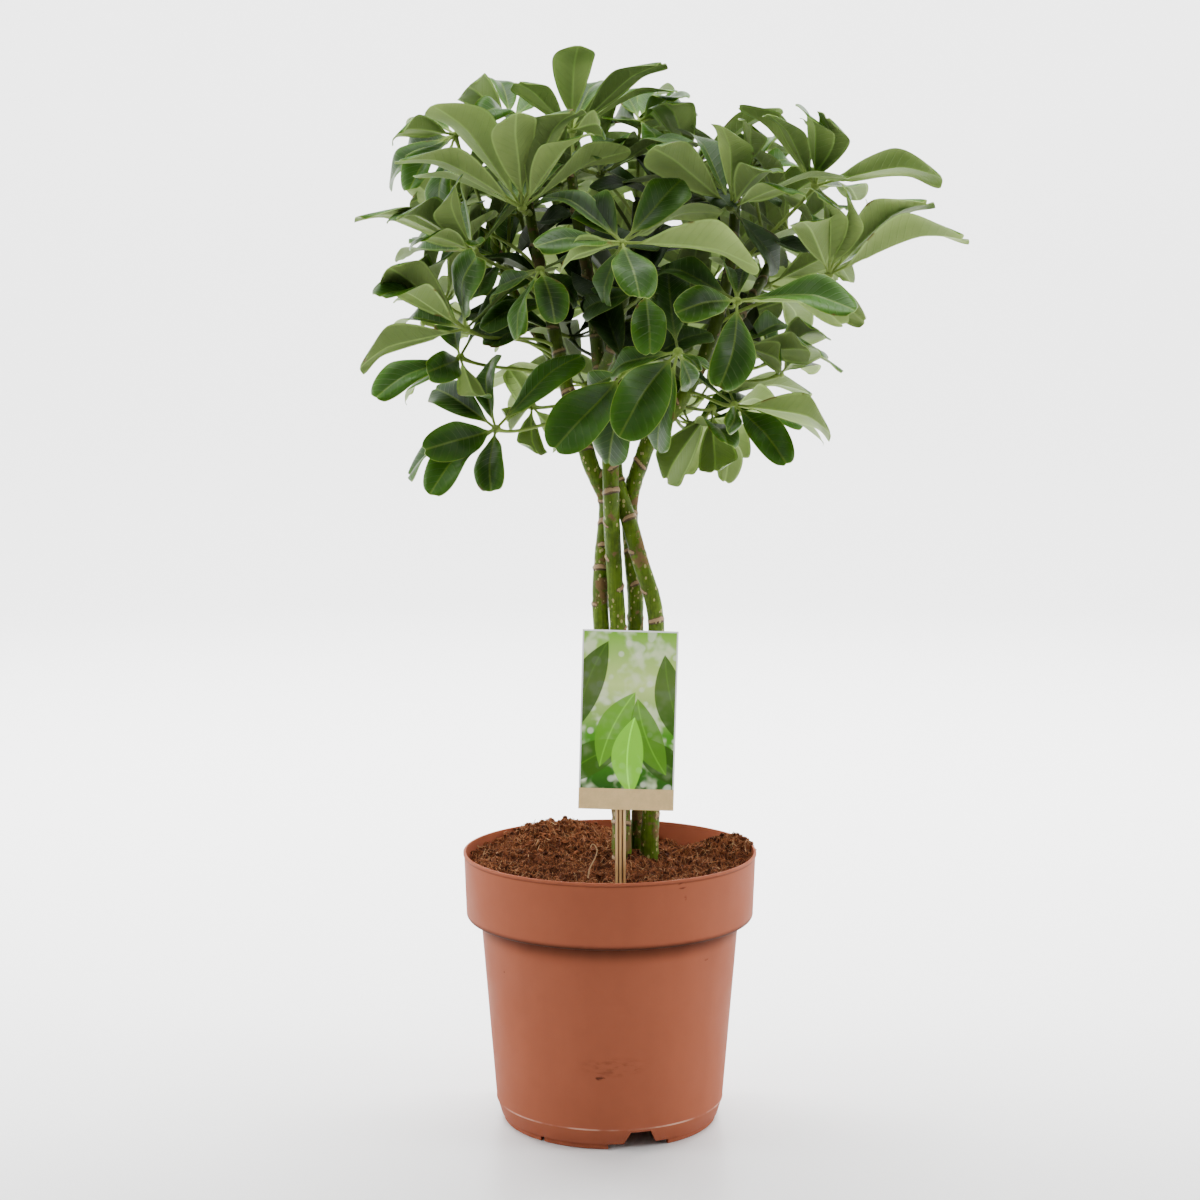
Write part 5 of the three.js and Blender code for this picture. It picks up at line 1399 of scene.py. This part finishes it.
def leaflet_faces(rings):
    """The faces of a leaflet: rings that run across its under face and back over its upper one,
    each end closed by a strip between the two faces."""
    width = len(ACROSS)
    sides = 2 * width - 2
    under = np.arange(width)
    upper = np.concatenate([[0], sides - np.arange(1, width - 1), [width - 1]])
    strip = np.stack([under[1:-2], under[2:-1], upper[2:-1], upper[1:-2]], -1)
    corners = np.array([[0, 1, upper[1]], [width - 2, width - 1, upper[width - 2]]])
    last = (rings - 1) * sides
    return [grid_faces(rings, sides), strip[:, ::-1], corners[:, ::-1],
            strip + last, corners + last]


def around(under, upper):
    """Rows that run across the under face of a leaflet and back over its upper one."""
    return np.concatenate([under, upper[:, -2:0:-1]], 1)


def add_leaflet(shells, leaf, kid, thickness, chance):
    """A leaflet as rings of points (x across, y along, z out of the face). With u the share of
    the length and v the share of the half width h(u):
    x = v h, y = u L plus a rounded or notched end, and
    z = rib(u) + fold (sqrt(x^2 + r^2) - r) - roll v^4 + curl (0.7 u - (2u - 1)^2.4) + waves at
    the edge, all twisted a little about the rib; the fold flattens out towards the tip. Upper and
    under face lie half a thickness to each side, which runs out at the margin, and the rib stands
    out of the under face."""
    length, width = kid["length"], kid["width"]
    shank = np.linspace(ROOT_START / length, SHANK, SHANK_STATIONS, endpoint=False)
    blade = SHANK + (1 - SHANK) * (1 - (1 - np.linspace(0, 1, BLADE_STATIONS)) ** 1.6)
    u, v = np.concatenate([shank, blade])[:, None], ACROSS
    tilted = 1 + chance.normal(0, 0.05) * v
    half = np.maximum(outline(u * TIP_CUT) * tilted * width / 2, SHANK_HALF)
    x = v * half
    notched = chance.uniform(0.015, 0.05) if chance.uniform() < 0.5 else 0.0
    closing = 0.022 * (1 - v ** 2) - notched * np.exp(-(v / 0.35) ** 2)
    y = length * (u * 0.978 + smooth_step(0.78, 1.0, u) ** 1.5 * closing)
    fold = FOLD * chance.uniform(1.0, 2.6) * (1 - 0.75 * smooth_step(0.62, 1.0, u))
    curl = chance.uniform(-0.01, 0.08) * length
    roll = chance.uniform(0.4, 2.8) * smooth_step(2, 6, half)
    wave = chance.uniform(0.2, 1.1) * smooth_step(0.2, 0.5, u)
    wave = wave * v ** 2 * np.sin(2 * np.pi * 1.4 * u + chance.uniform(0, 6) + 2 * v)
    bent = (fold * (np.sqrt(x ** 2 + FOLD_ROUND ** 2) - FOLD_ROUND) - roll * v ** 4
            + curl * (0.7 * u - np.clip(2 * u - 1, 0, 1) ** 2.4) + wave)
    sway = chance.normal(0, 0.018) * length * np.sin(np.pi * u)
    twist = chance.normal(0, 0.15) * smooth_step(0.1, 1.0, u)
    across = x * np.cos(twist) - bent * np.sin(twist) + sway
    z = rib_rise(length, u) + x * np.sin(twist) + bent * np.cos(twist)
    bladed = smooth_step(SHANK * 0.8, SHANK * 1.7, u)
    thin = thickness / MM / 2 * (1 - np.abs(v) ** 5)
    body = SHANK_HALF * np.sqrt(1 - v ** 2) * (1 - bladed) + thin * bladed
    ribbed = 0.75 * np.exp(-(x / 0.8) ** 2) * (1 - 0.85 * u) * bladed * (1 - v ** 2)
    groove = 0.22 * np.exp(-(x / 0.7) ** 2) * bladed
    faces = [np.stack([across, y, level], -1) for level in (z - body - ribbed, z + body - groove)]
    points = around(*faces) @ np.stack([kid["side"], kid["way"], kid["face"]]) + leaf["hub"]
    below = around(np.ones_like(x), np.zeros_like(x))
    below[:, [0, len(ACROSS) - 1]] = 0.5
    margin = np.minimum((1 - np.abs(v)) * half, length * (1 - u) + 0.5 * (1 - v ** 2))
    rib, margin, along = (around(far, far) * MM for far in (x, margin, y))
    shells.add(points, leaflet_faces(len(u)), under=below, rib=rib, margin=margin, along=along,
               tint=chance.uniform(), stalk=1 - bladed,
               age=age_at(leaf["hub"] + kid["way"] * length * 0.6))


def age_at(point):
    """How deep a place is in the crown, for the age of a leaf there and for painted shade: 1 deep
    in the crown, 0 near its outside.
    """
    return 1 - smooth_step(0.38, 0.74, np.linalg.norm((point - CROWN_CENTRE) / CROWN_HALF, axis=-1))


def add_stalk(shells, leaf, chance):
    """A stalk as a tube that swells at both ends, and its hub as a flattened ball."""
    line, along = even_line(stalk_points(leaf, np.linspace(0, 1, 40)), 2.4)
    radius = STALK_RADIUS * (0.86 + 0.75 * np.exp(-(along / 5.0) ** 2)
                             + 0.55 * np.exp(-((along[-1] - along) / 5.5) ** 2))
    plain = {"under": 0.5, "rib": 0.02, "margin": 0.02, "stalk": 1.0, "tint": chance.uniform(),
             "age": age_at(leaf["hub"])}
    add_tube(shells, line, radius[:, None], 10, along=(along / along[-1])[:, None], **plain)
    rows, sides = 7, 12
    polar = np.pi * np.arange(1, rows + 1)[:, None, None] / (rows + 1)
    ball = (circle(sides, *across_axis(leaf["axis"])) * HUB_RADIUS * np.sin(polar)
            - leaf["axis"] * HUB_HALF * np.cos(polar))
    shells.add(ball + leaf["hub"], tube_faces(rows, sides), along=1.0, **plain)


def leaf_material(settings):
    """Leaf skin: a glossy dark upper face and a pale matt under one, a pale rib and margin, fine
    side veins, slow changes of green, a few brown specks, and yellow-green stalks. Painted shade
    darkens each leaflet towards its root at the hub, and the leaves deep in the crown, which are
    also older; a painted glow of light brightens the upper face along its margin."""
    material, graph = new_material("leaf_skin")
    upper, under, pale = (np.array(c) for c in (settings.upper, settings.under, settings.margin))
    side, tint, rib, margin, along, stalk, age = graph.attributes(
        "under", "tint", "rib", "margin", "along", "stalk", "age")
    below, off = side.span(0.45, 0.55), abs(rib)
    cloud = graph.noise(38.0)
    wobble = graph.noise(160.0, detail=2.0) * 0.0016
    beat = graph.math("SINE", (along - off * 0.85 + wobble) * (2 * math.pi / 0.0052))
    # root: painted shade, darker towards each leaflet's root at the hub
    vein, root = beat.span(0.80, 1.0), along.span(0.010, 0.052, 0.5, 0.0)
    rib, edge = off.span(0.0002, 0.0010, 1.0, 0.0), margin.span(0.0001, 0.0006, 1.0, 0.0)
    top = graph.layers(
        graph.mix(tint, upper * 0.78, upper * (2.7, 2.6, 1.7)),
        (cloud.span(0.35, 0.7, 0.0, 0.45), upper * (1.9, 1.6, 1.2)), (root, upper * 0.4),
        # a painted glow of light shining through the thin margin of the upper face
        (margin.span(0.0, 0.007, 0.6, 0.0), upper * (4.6, 3.8, 2.4)), (vein * 0.07, pale * 0.6),
        (rib * 0.26, pale), (edge * 0.65, pale * 1.2))
    bottom = graph.layers(
        graph.mix(tint, under * 0.66, under * (1.48, 1.38, 1.44)),
        (cloud.span(0.35, 0.7, 0.0, 0.4), under * 0.72), (root, under * 0.42),
        (margin.span(0.001, 0.009, 0.0, 0.5), under * 0.66), (vein * 0.10, under * 0.62),
        (rib * 0.7, under * 1.45), (margin.span(0.0008, 0.0019, 1.0, 0.0) * 0.6, under * 1.6),
        (edge * 0.55, under * 0.4))
    specks = graph.noise(240.0, detail=2.0).span(0.76, 0.82, 0.0, 0.6)
    dry = graph.noise(52.0).span(0.61, 0.68) * margin.span(0.0004, 0.0020, 0.8, 0.0)
    colour = graph.layers(
        graph.mix(below, top, bottom), (specks, (0.16, 0.07, 0.02)), (dry, (0.10, 0.045, 0.012)),
        # leaves darker deep in the crown: partly as older leaves, partly as painted shade
        (stalk, graph.mix(cloud * 0.6, pale * 0.85, under * 0.6)), (age * 0.9, upper * 0.25))
    sheen = graph.noise(90.0).span(0.3, 0.7, 0.34, 0.44)
    dull = graph.most(graph.most(below, stalk), age * 0.9)
    graph.surface(colour, (0.6 - sheen) * dull + sheen, shine=0.15, fine=(1100.0, 0.00003),
                  height=vein * 0.00012 + cloud * 0.0002)
    return material


class PLANT_OT_leaves(bpy.types.Operator):
    """Grow the palmate leaves, each with its stalk, hub and leaflets"""

    bl_idname = "umbrella_plant.leaves"
    bl_label = "Palmate leaves"

    def execute(self, context):
        settings = context.scene.plant_leaves
        material = leaf_material(settings)
        leaves = grow_leaves()
        limbs = limb_samples()
        outer = len(LEAVES)
        bend_stalks_apart(leaves[:outer], limbs)
        turn_leaflets_apart(leaves[:outer], limbs)
        bend_stalks_apart(leaves, limbs, held=outer)
        turn_leaflets_apart(leaves, limbs, held=outer)
        for k, leaf in enumerate(leaves):
            chance = np.random.default_rng(700 + k)
            shells = Shells()
            add_stalk(shells, leaf, chance)
            for kid in leaf["leaflets"]:
                add_leaflet(shells, leaf, kid, settings.thickness, chance)
            if k < outer:
                shells.piece(f"palmate_leaf_{k + 1:02d}", material, "leaf", f"leaf_{k + 1:02d}")
            else:
                shells.piece(f"inner_leaf_{k + 1 - outer:02d}", material, "leaf")
        return {"FINISHED"}


# ---------------------------------------------------------------- label

class LabelSettings(bpy.types.PropertyGroup):
    """What a user may change on the plant label."""

    fresh: FloatVectorProperty(
        name="Print", description="Main green of the printed leaves",
        subtype="COLOR", default=(0.16, 0.43, 0.025), min=0, max=1)
    kraft: FloatVectorProperty(
        name="Band", description="Colour of the paper-brown band",
        subtype="COLOR", default=(0.74, 0.52, 0.25), min=0, max=1)
    bend: FloatProperty(
        name="Bend", description="How far the card's sides bend back", default=0.0003,
        min=0, max=0.003, unit="LENGTH", precision=4)


def add_card(shells, bend):
    """The card as two sheets of a grid joined at the rim: y = bend ((2x / width)^2 - 1/2), tilted
    about the front-to-back axis."""
    columns, rows = 25, 45
    across, up = np.meshgrid(np.linspace(0, 1, columns), np.linspace(0, 1, rows))
    x, z = (across - 0.5) * CARD_SIZE[0], (up - 0.5) * CARD_SIZE[1]
    bow = bend / MM * ((2 * x / CARD_SIZE[0]) ** 2 - 0.5)
    half = CARD_THICK / 2 - bend / MM / 2
    cos, sin = math.cos(CARD_TILT), math.sin(CARD_TILT)
    sheets = [np.stack([x * cos + z * sin, y, z * cos - x * sin], -1)
              for y in (bow - half, bow + half)]
    size = rows * columns
    front = grid_faces(rows, columns, closed=False)
    index = np.arange(size).reshape(rows, columns)
    rim = np.concatenate([index[0, :-1], index[:-1, -1], index[-1, :0:-1], index[:0:-1, 0]])
    following = np.roll(rim, -1)
    joined = np.stack([rim, rim + size, following + size, following], -1)
    shells.add(np.stack(sheets) + CARD_CENTRE, [front, front[:, ::-1] + size, joined],
               across=across, up=up, front=np.array([1.0, 0.0])[:, None, None])


def printed_leaf():
    """A printed leaf, by a place off its middle and its turn, length and width: 1 inside a bowed
    ellipse, and its rib as a thin line down the middle."""
    graph, (x, y, turn, length, width), made = new_group(
        "printed_leaf", dict.fromkeys(("Across", "Up", "Turn", "Length", "Width"), "Float"),
        {"Mask": "Float", "Rib": "Float"})
    cos, sin = graph.math("COSINE", turn), graph.math("SINE", turn)
    along = (x * cos + y * sin) / length
    bowed = abs((y * cos - x * sin) / width + along * along * 0.35)
    graph.put((1.0 - along * along - bowed).span(-0.01, 0.05), made["Mask"])
    graph.put(bowed.span(0.02, 0.07, 1.0, 0.0), made["Rib"])
    return graph.tree


CARD_SHAPE = 1.9  # of the print: height over width
PRINTS = [  # (centre across, centre up, turn, length, width, shade)
    (0.06, 0.70, 1.25, 0.50, 0.17, 0.16), (0.95, 0.60, 1.85, 0.52, 0.17, 0.22),
    (0.10, 0.28, 0.55, 0.46, 0.17, 0.28), (0.90, 0.26, 2.55, 0.46, 0.17, 0.20),
    (0.34, 0.46, 1.15, 0.44, 0.16, 0.85), (0.70, 0.40, 1.95, 0.44, 0.16, 0.60),
    (0.50, 0.30, 1.55, 0.42, 0.17, 1.7),
]


def card_material(settings):
    """Coated card: a soft green print of out-of-focus light with large plain leaves across it, a
    kraft-brown band below, a white rim, and a plain pale back."""
    material, graph = new_material("printed_card")
    fresh, kraft = np.array(settings.fresh), np.array(settings.kraft)
    across, up, front = graph.attributes("across", "up", "front")
    tall = up * CARD_SHAPE
    place = graph.node("CombineXYZ", {0: across, 1: tall})
    ground = graph.ramp(up, (0.12, (0.02, 0.09, 0.006)), (1.0, (0.20, 0.48, 0.04)),
                        (0.42, (0.08, 0.29, 0.015)), (0.70, (0.62, 0.80, 0.26)))
    blur = graph.noise(4.5, detail=2.0, place=place).span(0.46, 0.66, 0.0, 0.8)
    blobs = graph.node("TexVoronoi", {"Scale": 7.0, "Vector": place}, feature="SMOOTH_F1")
    coats = [(blur, (0.78, 0.88, 0.55)), (blobs.span(0.16, 0.30, 0.55, 0.0), (0.86, 0.92, 0.72))]
    for centre, middle, turn, length, width, shade in PRINTS:
        leaf = graph.group(printed_leaf, Across=across - centre, Up=tall - middle * CARD_SHAPE,
                           Turn=turn, Length=length, Width=width)
        body = graph.mix(leaf.out("Rib"), fresh * shade, fresh * shade * 1.7)
        coats.append((leaf * 0.88, body))
    band = up < 0.118
    rim = graph.least(graph.least(across, 1.0 - across), (1.0 - up) * CARD_SHAPE) < 0.017
    paper = graph.group(mottle, Colour=kraft, Patches=kraft * 0.86, Scale=160.0, Amount=0.7)
    printed = graph.layers(ground, *coats, (band, paper), (rim * (1.0 - band), (0.90, 0.91, 0.88)))
    back = graph.mix(graph.noise(120.0), (0.56, 0.58, 0.53), (0.64, 0.65, 0.61))
    graph.surface(graph.mix(front > 0.99, back, printed),
                  graph.noise(30.0).span(0.3, 0.7, 0.38, 0.48), shine=0.15, fine=(900.0, 0.00002))
    return material


def add_stake(shells):
    """The stake as an outline of three rounded ribs, rounded at its sides, carried upwards."""
    half, back_steps, rings = STAKE_WIDTH / 2, 7, 60
    s = np.linspace(0, 1, 49)
    rib = np.abs(np.sin(np.pi * STAKE_RIBS * s))
    ends = np.sqrt(np.clip(1 - (2 * s - 1) ** 10, 0, 1))
    front = np.stack([STAKE_WIDTH * s - half, -STAKE_THICK * (0.62 + 0.38 * np.sqrt(rib)) * ends])
    back = np.stack([np.linspace(half, -half, back_steps + 2)[1:-1], np.zeros(back_steps)])
    x, y = np.concatenate([front, back], 1) + [[STAKE_X], [STAKE_BACK_Y]]
    heights = np.linspace(STAKE_FOOT_Z, STAKE_TOP_Z, rings)[:, None]
    shells.add(np.stack(np.broadcast_arrays(x, y, heights), -1), tube_faces(rings, len(x)),
               rib=np.append(rib, np.zeros(back_steps)))


def stake_material():
    """Wood-coloured stake: lengthwise grain, and painted shade that darkens the grooves."""
    material, graph = new_material("ribbed_stake")
    (rib,) = graph.attributes("rib")
    wood = graph.noise(stretch=(900, 900, 26), detail=5.0, roughness=0.65)
    tan = graph.ramp(wood, (0.3, (0.36, 0.19, 0.07)), (0.75, (0.80, 0.56, 0.28)),
                     (0.5, (0.62, 0.38, 0.16)))
    # painted shade: nearly black in the grooves between the ribs
    graph.surface(graph.mix(rib.span(0.2, 0.85, 0.9, 0.0), tan, (0.06, 0.028, 0.010)),
                  wood.span(0.3, 0.7, 0.42, 0.6), shine=0.15, fine=(900.0, 0.0001),
                  height=wood * 0.0003)
    return material


class PLANT_OT_label(bpy.types.Operator):
    """Build the plant label: a printed card and the ribbed stake that carries it"""

    bl_idname = "umbrella_plant.label"
    bl_label = "Plant label"

    def execute(self, context):
        settings = context.scene.plant_label
        card, stake = Shells(), Shells()
        add_card(card, settings.bend)
        card.piece("plant_label_card", card_material(settings), "card", "label_card")
        add_stake(stake)
        stake.piece("plant_label_stake", stake_material(), "stake", "label_stake")
        return {"FINISHED"}


# ---------------------------------------------------------------- stage

class StageSettings(bpy.types.PropertyGroup):
    """What a user may change on the stage."""

    floor: FloatVectorProperty(
        name="Floor", description="Colour of the floor and backdrop",
        subtype="COLOR", default=(0.93, 0.93, 0.93), min=0, max=1)
    sides: FloatProperty(name="Sides", description="Power of each of the two lights at the sides",
                         default=39.0, min=0, unit="POWER")
    front: FloatProperty(name="Front", description="Power of the weak light from the front",
                         default=9.0, min=0, unit="POWER")
    top: FloatProperty(name="Top", description="Power of the wide light above",
                       default=52.0, min=0, unit="POWER")
    backdrop: FloatProperty(name="Backdrop", description="Power of the light on the backdrop",
                            default=400.0, min=0, unit="POWER")
    sky: FloatProperty(name="Surround", description="Strength of the even light all round",
                       default=0.05, min=0)


def soft_light(name, place, towards, size, power):
    """A square soft light at a place, in metres from the foot of the pot, aimed at another."""
    data = bpy.data.lights.new(name, "AREA")
    data.shape, data.energy = "RECTANGLE", power
    data.size, data.size_y = size
    light = in_scene(name, data)
    light.location = POT_FOOT + place
    x, y, z = np.subtract(towards, place)
    light.rotation_euler = (math.atan2(math.hypot(x, y), -z), 0, math.atan2(y, x) - math.pi / 2)
    return light


def stage_floor(colour):
    """Floor and backdrop in one round sweep: a flat disc, a quarter circle, an upright wall."""
    flat, bend, top = 3000, 1200, 6000
    profile = np.array([(0, 0), (400, 0), (1500, 0), *arc((flat, bend), bend, -90, 0, 16),
                        (flat + bend, top), (0, top)])
    points, faces = lathe(profile, 96)
    sweep = Shells()
    sweep.add(points - [0, 0, 0.2], [block[:, ::-1] for block in faces[:2]])
    mesh = sweep.mesh("floor")
    mesh.shade_smooth()
    material, graph = new_material("pale_floor")
    pale = np.array(colour)
    tone = graph.mix(graph.noise(3.0), pale, pale * 1.015)
    ahead = graph.node("SeparateXYZ", {0: graph.place()}, out=1).span(-1.1, 0.3, 0.7, 0.0)
    graph.surface(graph.mix(ahead, tone, pale * 0.1), 0.35)
    mesh.materials.append(material)
    in_scene("floor", mesh)


class PLANT_OT_stage(bpy.types.Operator):
    """Set out the pale floor, the soft lights and the camera"""

    bl_idname = "umbrella_plant.stage"
    bl_label = "Stage"

    def execute(self, context):
        settings = context.scene.plant_stage
        stage_floor(settings.floor)
        middle = (0, 0, 0.38)
        soft_light("left", (-2.0, -0.35, 1.6), middle, (0.9, 1.4), settings.sides)
        soft_light("right", (2.1, -0.5, 1.5), middle, (0.9, 1.4), settings.sides * 1.2)
        soft_light("front", (-0.2, -1.9, 1.9), middle, (1.2, 0.8), settings.front)
        soft_light("top", (0, 0.35, 2.3), (0, 0.1, 0), (1.8, 1.1), settings.top)
        behind = soft_light("backdrop", (0, 1.0, 2.4), (0, 2.9, 0.3), (3.6, 1.0), settings.backdrop)
        behind.visible_glossy = False  # it lights the backdrop, and doesn't shine off the leaves
        world = bpy.data.worlds.new("surround")
        world.use_nodes = True
        surround = world.node_tree.nodes["Background"]
        surround.inputs["Color"].default_value = (1, 1, 1, 1)
        surround.inputs["Strength"].default_value = settings.sky
        context.scene.world = world
        data = bpy.data.cameras.new("camera")
        data.sensor_width = SENSOR
        data.lens = VIEW_FOCAL / (2 * VIEW_MIDDLE) * SENSOR
        camera = in_scene("camera", data)
        camera.location = POT_FOOT + EYE * MM
        camera.rotation_euler = (math.pi / 2 - EYE_PITCH, 0, 0)
        context.scene.camera = camera
        return {"FINISHED"}


# ---------------------------------------------------------------- panel and start

OPERATORS = (PLANT_OT_stage, PLANT_OT_pot, PLANT_OT_soil, PLANT_OT_stems, PLANT_OT_leaves,
             PLANT_OT_label)
SETTINGS = {
    "plant_pot": PotSettings, "plant_soil": SoilSettings, "plant_stems": StemSettings,
    "plant_leaves": LeafSettings, "plant_label": LabelSettings, "plant_stage": StageSettings,
}


class PLANT_PT_panel(bpy.types.Panel):
    """The plant's settings and the buttons that build its pieces"""

    bl_label = "Umbrella plant"
    bl_space_type = "VIEW_3D"
    bl_region_type = "UI"
    bl_category = "Umbrella plant"

    def draw(self, context):
        for name, group in SETTINGS.items():
            column = self.layout.column(align=True)
            for key in group.__annotations__:
                column.prop(getattr(context.scene, name), key)
        for operator in OPERATORS:
            self.layout.operator(operator.bl_idname)


CLASSES = (*SETTINGS.values(), *OPERATORS, PLANT_PT_panel)


def register():
    for item in CLASSES:
        bpy.utils.register_class(item)
    for name, group in SETTINGS.items():
        setattr(bpy.types.Scene, name, PointerProperty(type=group))


def unregister():
    for name in SETTINGS:
        delattr(bpy.types.Scene, name)
    for item in reversed(CLASSES):
        bpy.utils.unregister_class(item)


def main():
    """Builds every piece in order."""
    register()
    for operator in OPERATORS:
        module, name = operator.bl_idname.split(".")
        getattr(getattr(bpy.ops, module), name)()


if __name__ == "__main__":
    main()
